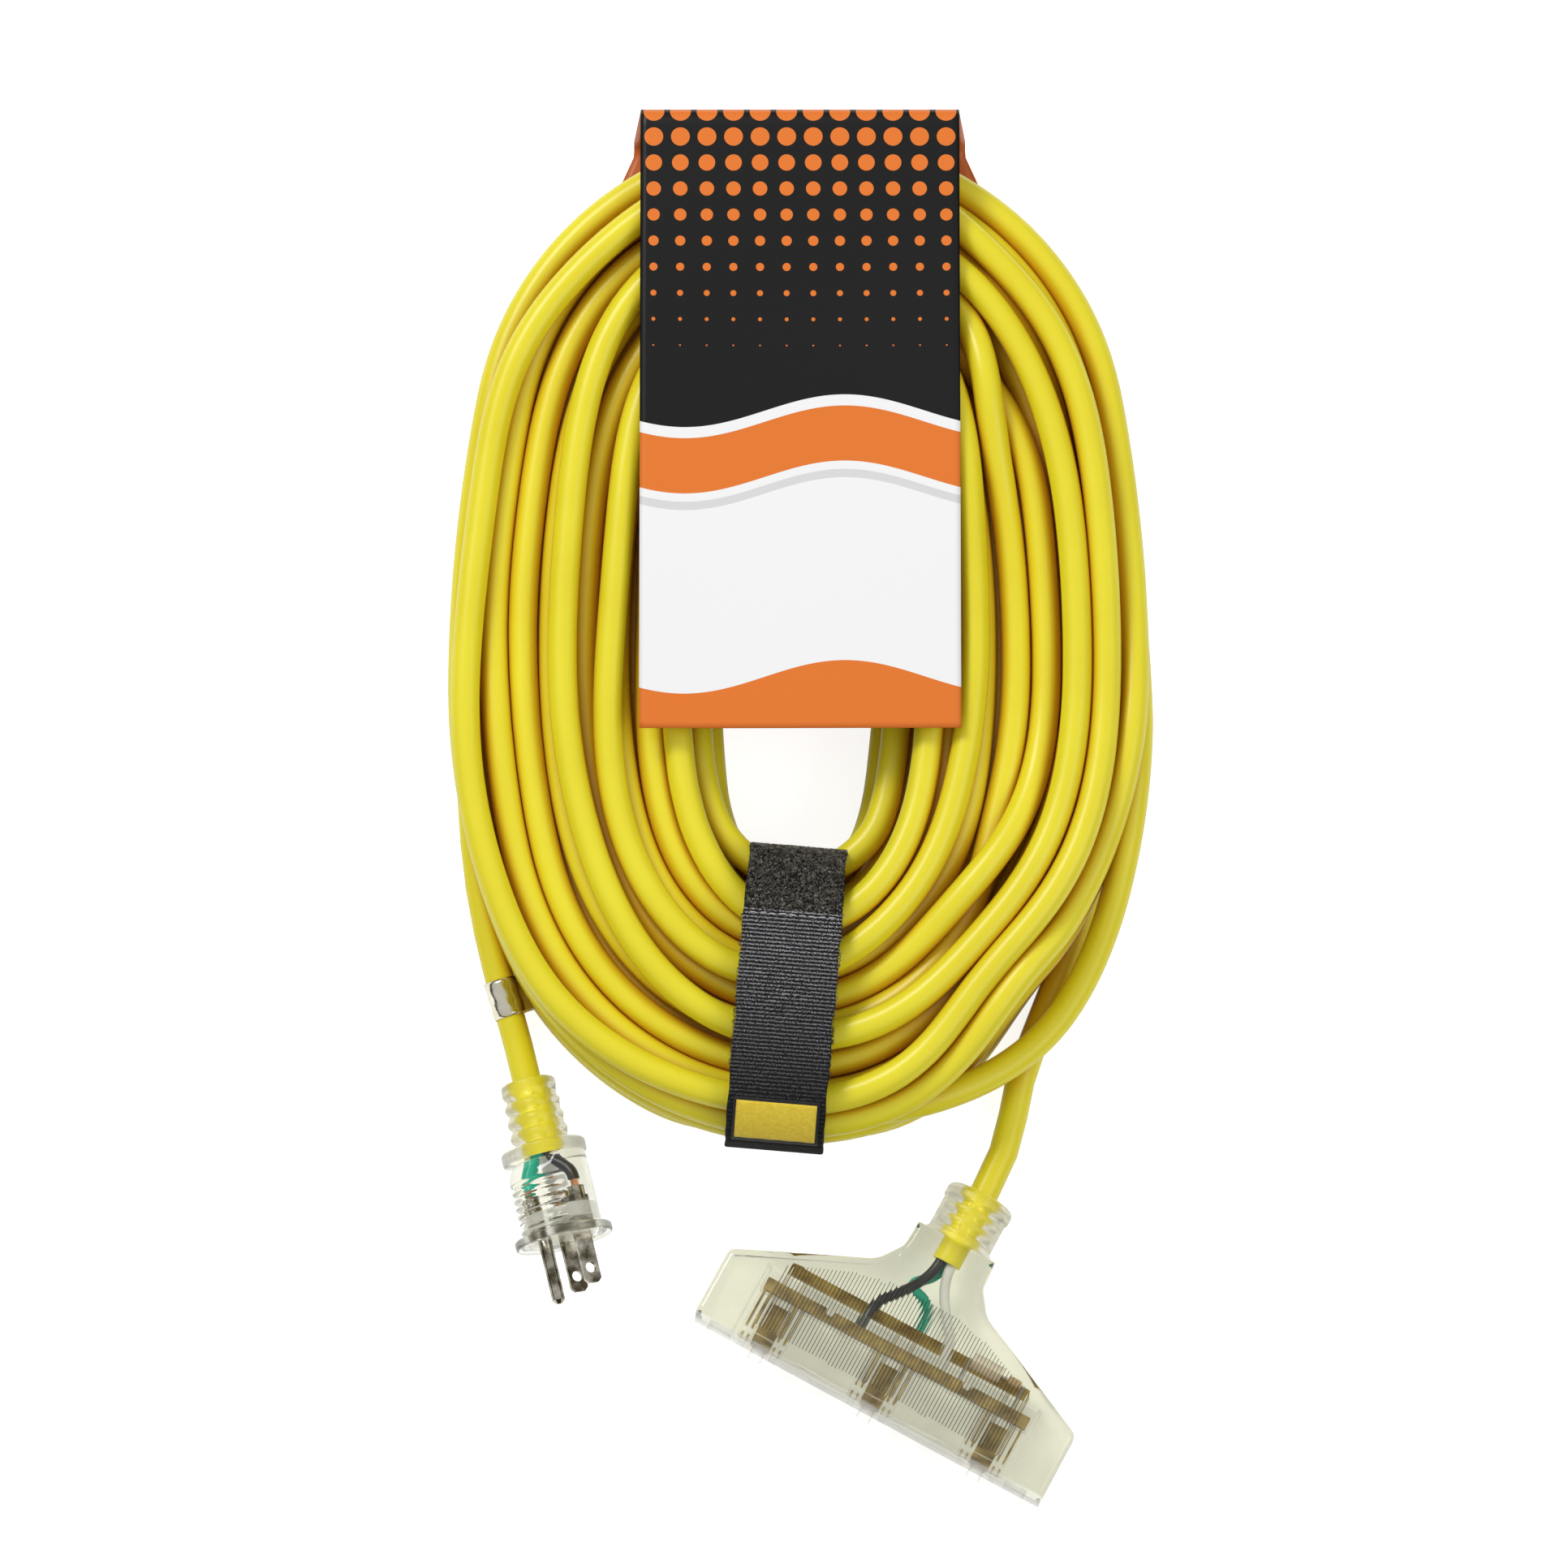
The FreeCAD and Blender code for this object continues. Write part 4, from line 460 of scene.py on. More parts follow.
def turned(name, line, place, materials, shift, choose=None):
    """A clear moulding: a line of (along, radius) turned about a frame's X axis, its radius shifted."""
    angle = TURN * np.arange(SECTORS) / SECTORS
    along = np.repeat(line[:, :1], SECTORS, axis=1)
    radius = np.repeat(line[:, 1:], SECTORS, axis=1)
    radius = np.maximum(radius + shift(along, angle[None, :], radius), 0)
    grid = np.stack([along, radius * np.cos(angle), radius * np.sin(angle)], axis=-1)
    faces = grid_faces(len(line), SECTORS, round_columns=True)
    sides = [choose(line[face[0] // SECTORS]) for face in faces] + [0, 0] if choose else None
    faces += [tuple(range(SECTORS)), tuple(range((len(line) - 1) * SECTORS, len(line) * SECTORS))]
    points = placed(grid.reshape(-1, 3), place)
    return mesh_piece(name, points, faces, materials, sides=sides)


STRAP_PLACE = Matrix.Translation(mm(*STRAP_MIDDLE, 0)) @ Matrix.Rotation(STRAP_TILT, 4, "Z")


def thick_sheet(name, grid, thickness, materials, body="root", place=STRAP_PLACE, round_rows=False):
    """A grid of points in a frame made a sheet as thick as given; its far side has the last material."""
    grid = placed(grid, place)
    rows, columns = grid.shape[:2]
    if round_rows:
        along = np.roll(grid, -1, axis=0) - np.roll(grid, 1, axis=0)
    else:
        along = np.gradient(grid, axis=0)
    normal = np.cross(along, np.gradient(grid, axis=1))
    normal /= lengths(normal)
    half = normal * np.broadcast_to(thickness, (rows, columns))[:, :, None] * MM / 2
    points = np.concatenate([grid + half, grid - half]).reshape(-1, 3)
    count = rows * columns
    near, far = grid_faces(rows, columns, round_rows), grid_faces(rows, columns, round_rows, start=count)
    index = np.arange(count).reshape(rows, columns)
    if round_rows:
        edges = np.vstack([index, index[:1]])[:, [0, -1]].T
    else:
        edges = index[:, 0], index[:, -1], index[0], index[-1]
    edges = [edge.tolist() for edge in edges]
    rim = [(a, b, b + count, a + count) for edge in edges for a, b in zip(edge, edge[1:])]
    sides = [0] * len(near) + [len(materials) - 1] * len(far) + [0] * len(rim)
    return mesh_piece(name, points, near + far + rim, materials, body, sides)


mounts = {mount["name"]: mount for mount in frame["record"]["mounts"]}


def mount_place(name):
    return Vector(mounts[name]["pos_m"])


PLUG_PLACE = frame_at(PLUG_ROUTE[0], mounts["earth_pin"]["axis"],
                      mount_place("blades") - mount_place("earth_pin"))
SLOT_RISE = 4.6
OUTWARD = Vector(mounts["blade_slots_2"]["axis"])
BLOCK_ALONG = mount_place("blade_slots_3") - mount_place("blade_slots_1")
BLOCK_PLACE = frame_at((0, 0, 0), BLOCK_ALONG, -OUTWARD)
BLOCK_PLACE.translation = mount_place("blade_slots_2") - BLOCK_PLACE.col[2].to_3d() * SLOT_RISE * MM
COLLAR_PLACE = frame_at(BLOCK_PLACE.translation, -OUTWARD, BLOCK_ALONG)


# Materials
def feed(tree, node, values):
    """Gives a node's sockets, by name or number, a constant, a colour or another node's output."""
    for key, value in values.items():
        socket = node.inputs[key if isinstance(key, int) else key.replace("_", " ")]
        if isinstance(value, bpy.types.NodeSocket):
            tree.links.new(value, socket)
        else:
            socket.default_value = (*value, 1) if socket.type == "RGBA" else value


def add_node(tree, kind, **values):
    node = tree.nodes.new("ShaderNode" + kind)
    feed(tree, node, values)
    return node


def new_material(name, **values):
    """A material, its node tree and its shader, whose sockets take the values."""
    material = bpy.data.materials.new(name)
    material.use_nodes = True
    tree = material.node_tree
    shader = tree.nodes["Principled BSDF"]
    feed(tree, shader, values)
    return material, tree, shader


def mapped(tree, kind, stretch=(1, 1, 1), turn=0.0, **values):
    """A texture over the piece's own coordinates."""
    place = add_node(tree, "TexCoord").outputs["Object"]
    mapping = add_node(tree, "Mapping", Vector=place, Scale=stretch, Rotation=(0, 0, turn))
    return add_node(tree, kind, Vector=mapping.outputs["Vector"], **values)


def noise_of(tree, scale, detail=3.0, stretch=(1, 1, 1), turn=0.0):
    return mapped(tree, "TexNoise", stretch, turn, Scale=scale, Detail=detail).outputs["Fac"]


def threads_of(tree, spacing, direction):
    """A wave across the strap's own directions, one for each thread."""
    wave = mapped(tree, "TexWave", turn=-STRAP_TILT, Scale=TURN / 20 / (spacing * MM), Distortion=0.6)
    wave.bands_direction = direction
    return wave.outputs["Fac"]


def axes_of(tree, output="Object"):
    """X, Y and Z of the piece's own coordinates, or of the world's directions."""
    place = add_node(tree, "TexCoord").outputs[output]
    return add_node(tree, "SeparateXYZ", Vector=place).outputs


def maths(tree, operation, *values):
    node = add_node(tree, "Math")
    node.operation = operation
    feed(tree, node, dict(enumerate(values)))
    return node.outputs[0]


def ranged(tree, value, low, high, least=0.0):
    """least where the value is low, rising to 1 where it is high."""
    node = add_node(tree, "MapRange", Value=value, From_Min=low, From_Max=high, To_Min=least)
    return node.outputs["Result"]


def blend(tree, factor, low, high, low_at=0.3, high_at=0.7):
    ramp = add_node(tree, "ValToRGB", Fac=factor)
    for element, colour, place in zip(ramp.color_ramp.elements, (low, high), (low_at, high_at)):
        element.position = place
        element.color = (*colour, 1)
    return ramp.outputs["Color"]


def painted(tree, mask, under, over):
    """The colour over where the mask is 1, and the colour under elsewhere."""
    mix = add_node(tree, "Mix")
    mix.data_type = "RGBA"
    feed(tree, mix, {0: mask, 6: under, 7: over})
    return mix.outputs[2]


def surfaced(tree, shader, colour, height, strength, distance=0.0002):
    """Gives a shader its colour and a fine relief."""
    bump = add_node(tree, "Bump", Strength=strength, Distance=distance, Height=height)
    feed(tree, shader, {"Base Color": colour, "Normal": bump.outputs["Normal"]})


def plain_material(name, low, high, roughness, metallic=0.0, scale=120, bump=0.1, **others):
    """One surface whose colour and height vary a little."""
    material, tree, shader = new_material(name, Roughness=roughness, Metallic=metallic, **others)
    colour = blend(tree, noise_of(tree, scale), low, high)
    surfaced(tree, shader, colour, noise_of(tree, scale * 9, 2), bump)
    return material


def jacket_material():
    """Satin yellow jacket, a little uneven in tone, with painted shade: it turns a warmer orange-brown in
    the gaps between strands.
    """
    material, tree, shader = new_material(
        "yellow_jacket", Roughness=0.33, Specular_IOR_Level=0.45, Subsurface_Weight=0.1,
        Subsurface_Radius=(0.004, 0.002, 0.0003), Subsurface_Scale=1.0)
    colour = blend(tree, noise_of(tree, 18), (0.83, 0.71, 0.018), (0.89, 0.79, 0.028))
    # Painted shade: ambient occlusion among the strands mixes in an orange-brown colour where they lie close
    # together.
    gap = add_node(tree, "AmbientOcclusion", Distance=0.012)
    gap.samples = 6
    gap.only_local = True
    painted_gap_shade = blend(tree, gap.outputs["AO"], (1, 1, 1), (0, 0, 0), 0.15, 0.85)
    colour = painted(tree, painted_gap_shade, colour, (0.62, 0.30, 0.008))
    surfaced(tree, shader, colour, noise_of(tree, 900, 2), 0.12)
    return material


LAMP_TINT = (0.95, 0.95, 0.91)


def clear_material(name, tint, roughness=0.03, bend=1.45):
    """Clear moulded plastic that lets the lamps reach what is inside."""
    material, tree, shader = new_material(name, Transmission_Weight=1.0, Roughness=roughness, IOR=bend)
    surfaced(tree, shader, tint, noise_of(tree, 70, 2), 0.08, 0.001)
    path = add_node(tree, "LightPath")
    way = add_node(tree, "BsdfTransparent", Color=LAMP_TINT)
    mix = add_node(tree, "MixShader")
    feed(tree, mix, {0: path.outputs["Is Shadow Ray"], 1: shader.outputs["BSDF"], 2: way.outputs["BSDF"]})
    feed(tree, tree.nodes["Material Output"], {"Surface": mix.outputs["Shader"]})
    return material


def insert_material():
    """The clear carrier inside the block, seen mostly by its edges."""
    material, tree, shader = new_material("clear_insert", Roughness=0.15)
    edge = add_node(tree, "LayerWeight", Blend=0.35)
    tint = blend(tree, noise_of(tree, 90, 2), (0.72, 0.72, 0.64), (0.86, 0.86, 0.80))
    opacity = maths(tree, "MULTIPLY_ADD", edge.outputs["Facing"], 0.45, 0.03)
    feed(tree, shader, {"Base Color": tint, "Alpha": opacity})
    return material


def nickel_material():
    """Nickel plate in a dark, cloudy tone that varies in random patches."""
    material, tree, shader = new_material("nickel", Metallic=1.0, Roughness=0.14)
    cloud = noise_of(tree, 210, 5)
    colour = blend(tree, cloud, (0.10, 0.085, 0.05), (0.58, 0.55, 0.46), 0.38, 0.66)
    surfaced(tree, shader, colour, noise_of(tree, 1500, 2), 0.1)
    return material


DEEP_BLACK = (0.006, 0.006, 0.006)
ROW_DEPTH, ROW_STRETCH, SPECK_EDGE = 0.22, 1.7, 0.14


def glint_speckled(name, rows, size, threshold, light, fade):
    """Black yarn with painted highlights, light specks where its loops catch the lamps, in rows over the
    strap or scattered, fading towards the fade's start along Y.
    """
    material, tree, shader = new_material(name, Roughness=0.8, Specular_IOR_Level=0.2)
    if rows:
        specks = noise_of(tree, size, 2, (1, ROW_STRETCH, 1), STRAP_TILT)
        value = maths(tree, "MULTIPLY_ADD", threads_of(tree, rows, "Y"), ROW_DEPTH, specks)
    else:
        value = noise_of(tree, size, 2)
    # The painted highlights fade to least between the fade's start and end along the piece's Y.
    start, end, least = fade
    band = ranged(tree, axes_of(tree)["Y"], start * MM, end * MM, least)
    share = maths(tree, "MULTIPLY", ranged(tree, value, threshold, threshold + SPECK_EDGE), band)
    surfaced(tree, shader, painted(tree, share, DEEP_BLACK, light), value, 0.6, 0.0005)
    return material


def woven_material(name, dark, light, spacing):
    """Narrow tape woven across the strap, its threads crossing at the spacing."""
    material, tree, shader = new_material(name, Roughness=0.6, Specular_IOR_Level=0.2, Sheen_Weight=0.1)
    weave = maths(tree, "MULTIPLY", threads_of(tree, spacing, "X"), threads_of(tree, spacing * 0.8, "Y"))
    shade = maths(tree, "ADD", weave, noise_of(tree, 700, 2))
    surfaced(tree, shader, blend(tree, shade, dark, light, 0.3, 1.0), weave, 0.5, 0.0004)
    return material


# The sleeve's print, in millimetres. Below the print's foot the fold and the back are plain orange, darkened
# as painted shade
WHITE, GREY = (0.93, 0.93, 0.93), (0.72, 0.72, 0.72)
ORANGE, SHADED_ORANGE = (0.81, 0.20, 0.028), (0.60, 0.14, 0.018)
PRINT_FOOT = 55.5
WAVE_HEIGHT, WAVE_RATE, WAVE_START = 6.0, 0.055, 0.7
WAVE_BANDS = ((76, 300, DEEP_BLACK), (52, 72, ORANGE), (46, 49, GREY), (-60, -20, ORANGE))
DOT_PITCH, DOT_FOOT, DOT_GROWTH = 9.5, 92.0, 0.04


def printed_material():
    """The sleeve's print: wave bands, a black field with rows of dots that shrink, and a foot in a darker
    orange that is painted shade.
    """
    material, tree, shader = new_material("printed_card", Roughness=0.36, Specular_IOR_Level=0.25)
    x, y, z = [maths(tree, "DIVIDE", axis, MM) for axis in axes_of(tree)]
    phase = maths(tree, "MULTIPLY_ADD", x, WAVE_RATE, WAVE_START)
    swell = maths(tree, "MULTIPLY", maths(tree, "SINE", phase), WAVE_HEIGHT)
    level = maths(tree, "SUBTRACT", y, swell)
    colour = WHITE
    for low, high, over in WAVE_BANDS:
        above = maths(tree, "GREATER_THAN", level, low)
        below = maths(tree, "LESS_THAN", level, high)
        colour = painted(tree, maths(tree, "MULTIPLY", above, below), colour, over)
    offsets = []
    for value in (x, y):
        cell = maths(tree, "FLOORED_MODULO", value, DOT_PITCH)
        offset = maths(tree, "SUBTRACT", cell, DOT_PITCH / 2)
        offsets.append(maths(tree, "MULTIPLY", offset, offset))
    distance = maths(tree, "SQRT", maths(tree, "ADD", *offsets))
    size = maths(tree, "MULTIPLY", maths(tree, "SUBTRACT", y, DOT_FOOT), DOT_GROWTH)
    colour = painted(tree, maths(tree, "LESS_THAN", distance, size), colour, ORANGE)
    # Painted shade: below the print's foot the card takes a darker copy of the print's orange.
    colour = painted(tree, maths(tree, "LESS_THAN", z, PRINT_FOOT), colour, SHADED_ORANGE)
    surfaced(tree, shader, colour, noise_of(tree, 260), 0.06, 0.0003)
    return material


jacket = jacket_material()
clear = clear_material("clear_plastic", (0.90, 0.90, 0.85))
block_clear = clear_material("block_plastic", (0.74, 0.74, 0.62))
# Painted shade: a near-black clear plastic laid on the rib valleys of the block's grip, for the dark lines
# of the ribs.
rib_valley_shade = clear_material("block_rib_painted_shade", (0.09, 0.085, 0.05))
satin_clear = clear_material("satin_clear_plastic", (0.88, 0.875, 0.79), 0.3, 1.42)
clear_insert = insert_material()
nickel = nickel_material()
brass = plain_material("bus_brass", (0.24, 0.15, 0.03), (0.74, 0.53, 0.16), 0.28, 1.0, scale=160)
copper = plain_material("copper", (0.62, 0.27, 0.12), (0.84, 0.45, 0.25), 0.34, 1.0, 900, 0.5)
skins = {
    "black": plain_material("black_insulation", (0.010, 0.010, 0.011), (0.022, 0.022, 0.024), 0.35),
    "white": plain_material("white_insulation", (0.74, 0.74, 0.72), (0.84, 0.84, 0.82), 0.38),
    "green": plain_material("green_insulation", (0.0, 0.36, 0.24), (0.0, 0.46, 0.31), 0.35)}
milky = plain_material("bridge_plastic", (0.80, 0.80, 0.74), (0.88, 0.88, 0.82), 0.4, Alpha=0.35)
locator = plain_material("locating_pin", (0.70, 0.68, 0.60), (0.82, 0.80, 0.72), 0.4)
lamp_glass = plain_material("lamp_glass", (0.66, 0.56, 0.44), (0.76, 0.66, 0.54), 0.12, Alpha=0.45)
lacquer = plain_material("resistor_body", (0.40, 0.27, 0.14), (0.56, 0.40, 0.22), 0.3)
tinned = plain_material("lead_wire", (0.60, 0.60, 0.58), (0.75, 0.75, 0.73), 0.3, 1.0)
# Painted highlights: the pile's light specks stand for loops catching the lamps.
pile = glint_speckled("loop_pile", 0, 1200, 0.57, (0.32, 0.295, 0.245), (-190, -60, 1.0))
fibres = plain_material("pile_fibres", (0.006, 0.005, 0.004), (0.32, 0.30, 0.245), 0.6, scale=500,
                        Specular_IOR_Level=0.2)
# Painted highlights: grey specks in rows for the hooks catching the lamps, fading out towards the strap's
# lower end.
hook_tape = glint_speckled("hook_tape", 1.4, 2000, 0.645, (0.46, 0.46, 0.48), (-176, -118, 0.07))
label_weave = woven_material("label_weave", (0.80, 0.50, 0.016), (0.98, 0.79, 0.09), 0.42)
label_rim = woven_material("label_rim", DEEP_BLACK, (0.03, 0.03, 0.03), 0.5)
thread = plain_material("thread", (0.70, 0.70, 0.68), (0.86, 0.86, 0.84), 0.7, scale=900)
print_side = printed_material()
plain_side = plain_material("card_inside", (0.54, 0.125, 0.016), (0.62, 0.150, 0.022), 0.45, scale=200)
foil = plain_material("foil", (0.66, 0.60, 0.44), (0.84, 0.80, 0.68), 0.2, 1.0, 90, 0.3)
foil_print = plain_material("foil_print", (0.78, 0.34, 0.02), (0.86, 0.46, 0.04), 0.3, 0.5, 150, 0.3)


# The plug's moulding, in its own frame: X from the cord to the face, +Y towards the blades
RELIEF_LENGTH, RELIEF_RADIUS, RELIEF_SHOULDER = 24.0, 9.0, 10.8
REAR_FLANGE, GRIP_RADIUS, FACE_RADIUS = 15.3, 14.6, 17.65
GRIP_START, GRIP_END, PLUG_FACE = 29.0, 56.0, 59.3
WINDOW_PITCH, WINDOW_DEPTH, WINDOW_WIDTH, WINDOWS = RELIEF_LENGTH / 4.5, 2.3, 0.75, 4
FIRST_LEFT, FIRST_RIGHT = WINDOW_PITCH * 1.15, WINDOW_PITCH * 0.75
RIDGE_DEPTH, RIDGE_SHIFT = 0.9, 1.15
JACKET_IN_PLUG = 27.0
DOME_LENGTH, DOME_DROP = 7.0, 5.0
RIB_PITCH, RIB_DEPTH = 2.9, 1.5
SEAM_ANGLE, SEAM_HEIGHT, SEAM_SPREAD = math.radians(71.25), 0.3, 0.05
POLE = 0.02


def windows_at(along, first, pitch, count, width):
    return sum(np.exp(-((along - first - pitch * number) / width) ** 4) for number in range(count))


def plug_shift(along, angle, radius):
    """Windows, ridges and parting line of the relief, and dome and ribs on the grip's earth pin side."""
    outer = 1.0 * (radius > RELIEF_RADIUS / 2)
    relief = outer * (along < RELIEF_LENGTH - 0.5)
    first = np.where(np.cos(angle) < 0, FIRST_LEFT, FIRST_RIGHT)
    windows = windows_at(along, first, WINDOW_PITCH, WINDOWS, WINDOW_WIDTH)
    windows = windows * soft_step(np.abs(np.sin(2 * angle)), 0.3, 0.7)
    ridges = 0.5 + 0.5 * np.cos(TURN * (along / WINDOW_PITCH - RIDGE_SHIFT))
    ridges *= soft_step(along, 2.5, 4.5)
    seam = SEAM_HEIGHT * np.exp(-((np.mod(angle, math.pi) - SEAM_ANGLE) / SEAM_SPREAD) ** 2)
    change = relief * (seam - WINDOW_DEPTH * windows - RIDGE_DEPTH * ridges)
    pin_side = soft_step(-np.cos(angle), 0.1, 0.45)
    on_grip = (along > GRIP_START + 0.2) * (along < GRIP_END - 0.2) * (radius < GRIP_RADIUS + 0.1)
    rise = np.clip((along - GRIP_START) / DOME_LENGTH, 0, 1)
    dome = DOME_DROP * (1 - np.sqrt(1 - (1 - rise) ** 2))
    ribs_from = GRIP_START + DOME_LENGTH
    ribs = RIB_DEPTH * soft_step(along, ribs_from - 1, ribs_from + 1)
    ribs = ribs * (0.5 - 0.5 * np.cos(TURN * (along - ribs_from) / RIB_PITCH))
    return change - on_grip * outer * pin_side * (dome + ribs)


def make_plug():
    line = rounded([
        (0, POLE, 0), (0, RELIEF_RADIUS + 0.8, 1.2), (RELIEF_LENGTH, RELIEF_SHOULDER, 1.0),
        (RELIEF_LENGTH, REAR_FLANGE, 1.2), (GRIP_START, REAR_FLANGE, 1.2), (GRIP_START, GRIP_RADIUS, 0),
        (GRIP_END, GRIP_RADIUS, 0.8), (GRIP_END, FACE_RADIUS, 0.8), (PLUG_FACE, FACE_RADIUS, 0.8),
        (PLUG_FACE, POLE, 0)], 0.45)
    skin = turned("plug_moulding", line, PLUG_PLACE, [clear, satin_clear], plug_shift,
                  lambda point: int(point[0] < GRIP_START or GRIP_END < point[0] < PLUG_FACE))
    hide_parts("plug_body")
    return skin


# The wires, each from its jacket's end to its metal: colour, start and end
WIRE_RADIUS = 1.85
WIRE_PITCH = WIRE_RADIUS + 0.3
BLADE_OFFSET, BLADE_HALF, PIN_OFFSET = 4.3, 6.35, 11.9
CRIMP_START = PLUG_FACE - 17.5
COPPER_START = CRIMP_START - 2.5
COLLAR_END, JACKET_IN_BLOCK = 90.0, 28.0
BAR_BACK, EARTH_BACK, BAR_JOINT, EARTH_JOINT = 26.9, 36.6, 15.8, 3.1
HOT_RISE, NEUTRAL_RISE, EARTH_RISE = SLOT_RISE + 4.15, SLOT_RISE - 4.15, SLOT_RISE - PIN_OFFSET
IN_BLOCK = COLLAR_END - JACKET_IN_BLOCK
PLUG_WIRES = (
    ("black", (JACKET_IN_PLUG, WIRE_PITCH / 2, WIRE_PITCH), (COPPER_START, BLADE_OFFSET, BLADE_HALF)),
    ("white", (JACKET_IN_PLUG, WIRE_PITCH / 2, -WIRE_PITCH), (COPPER_START, BLADE_OFFSET, -BLADE_HALF)),
    ("green", (JACKET_IN_PLUG, -WIRE_PITCH, 0), (COPPER_START, BLADE_OFFSET - PIN_OFFSET, 0)))
BLOCK_WIRES = (
    ("black", (-WIRE_PITCH, IN_BLOCK, WIRE_PITCH / 2), (-BAR_JOINT, BAR_BACK, HOT_RISE)),
    ("white", (WIRE_PITCH, IN_BLOCK, WIRE_PITCH / 2), (BAR_JOINT, BAR_BACK, NEUTRAL_RISE)),
    ("green", (0, IN_BLOCK, -WIRE_PITCH), (EARTH_JOINT, EARTH_BACK, EARTH_RISE)))
GREEN_BOW = Vector((-11, 0, 0))


def make_wires(part, place, travel, wires, straight):
    """One curve for each wire, whose ends run straight; the block's green wire bows to one side."""
    curves = []
    for colour, start, end in wires:
        start, end = Vector(start), Vector(end)
        bow = GREEN_BOW if (part, colour) == ("block", "green") else Vector()
        middle = start.lerp(end, 0.5) + bow
        points = [start, start + travel * straight[0], middle, end - travel * straight[1], end]
        points = [place @ (point * MM) for point in points]
        wire = cord_curve(f"{part}_lead_{colour}", points, WIRE_RADIUS * MM, 8)
        wire.data.materials.append(skins[colour])
        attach(wire, "root")
        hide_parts(f"{part}_wire_{colour}")
        curves.append(wire)
    return curves


# The block's moulding, in its own frame: X along the outlet face, Y from the face to the cord
BLOCK_HALF, BLOCK_HEIGHT = 69.5, 17.0
BLOCK_FRONT, BLOCK_SIDE, NECK_END = 3.5, 29.0, 70.0
SIDE_ROUND, THROAT, THROAT_ROUND, NECK_ROUND = 3.5, (22.0, 51.0), 12, 6
NECK_HALF, NECK_START, NECK_TAPER = 15.8, 60.0, 0.5
COLLAR_RADIUS = 12.7
EDGE_ROUND = 2.4
EDGE_STEPS = np.array([0, 0.25, 0.7, 1.3, 2.1, 3.0])
INNER_ROWS = 44
GRIP_RIB_PITCH, GRIP_RIB_HEIGHT = 1.33, 0.14
GRIP_ZONE, GRIP_LOW, GRIP_HIGH, GRIP_ARCH = 50.0, 9.0, 46.0, 14.0
VALLEY_AT, VALLEY_HALF = 0.625, 0.125
COLLAR_WINDOWS, COLLAR_WINDOW_DEPTH = 3, 5.0


def distance_to(points, line):
    """How far points lie from a closed line."""
    nearest = np.full(len(points), np.inf)
    for a, b in zip(line, np.roll(line, -1, axis=0)):
        share = np.clip((points - a) @ (b - a) / ((b - a) @ (b - a)), 0, 1)
        nearest = np.minimum(nearest, np.linalg.norm(points - a - share[:, None] * (b - a), axis=1))
    return nearest


def block_columns():
    """Places along the face: four to each rib, wider apart past them, and close together at the ends."""
    ribs = np.arange(0, GRIP_ZONE, GRIP_RIB_PITCH / 4)
    neck = NECK_HALF - NECK_TAPER * np.array([0, 0.35, 0.7, 1])
    ribs = ribs[np.abs(ribs[:, None] - neck).min(axis=1) > 0.08]
    outer = np.arange(GRIP_ZONE, BLOCK_HALF - SIDE_ROUND)
    half = np.unique(np.concatenate([ribs, neck, outer, BLOCK_HALF - EDGE_STEPS]))
    return np.concatenate([-half[:0:-1], half])


def grip_reach(across):
    return GRIP_HIGH - GRIP_ARCH * (across / GRIP_ZONE) ** 2


def in_grip(across, depth):
    return (depth > GRIP_LOW) & (depth < grip_reach(across)) & (np.abs(across) < GRIP_ZONE - 1)


def block_top(across, depth):
    """Height of the moulding's upper side, tapered to the neck and ribbed where it is gripped."""
    share = np.clip((depth - BLOCK_FRONT) / (NECK_END - BLOCK_FRONT), 0, 1)
    height = BLOCK_HEIGHT + (COLLAR_RADIUS - BLOCK_HEIGHT) * share
    high = grip_reach(across)
    zone = (soft_step(depth, GRIP_LOW - 0.5, GRIP_LOW + 0.5) * soft_step(-depth, -high - 0.5, -high + 0.5)
            * (np.abs(across) < GRIP_ZONE - 1))
    ribs = GRIP_RIB_HEIGHT * np.abs(np.cos(math.pi * across / GRIP_RIB_PITCH))
    return height + zone * ribs


def collar_shift(along, angle, radius):
    """Two rows of oval windows on each side of the jacket."""
    outer = 1.0 * (radius > COLLAR_RADIUS - 3)
    ovals = soft_step(np.abs(np.sin(angle)), 0.5, 0.75) * soft_step(np.abs(np.cos(angle)), 0.12, 0.3)
    windows = windows_at(along, NECK_END + 5.0, 4.6, COLLAR_WINDOWS, 1.0)
    return -outer * COLLAR_WINDOW_DEPTH * windows * ovals


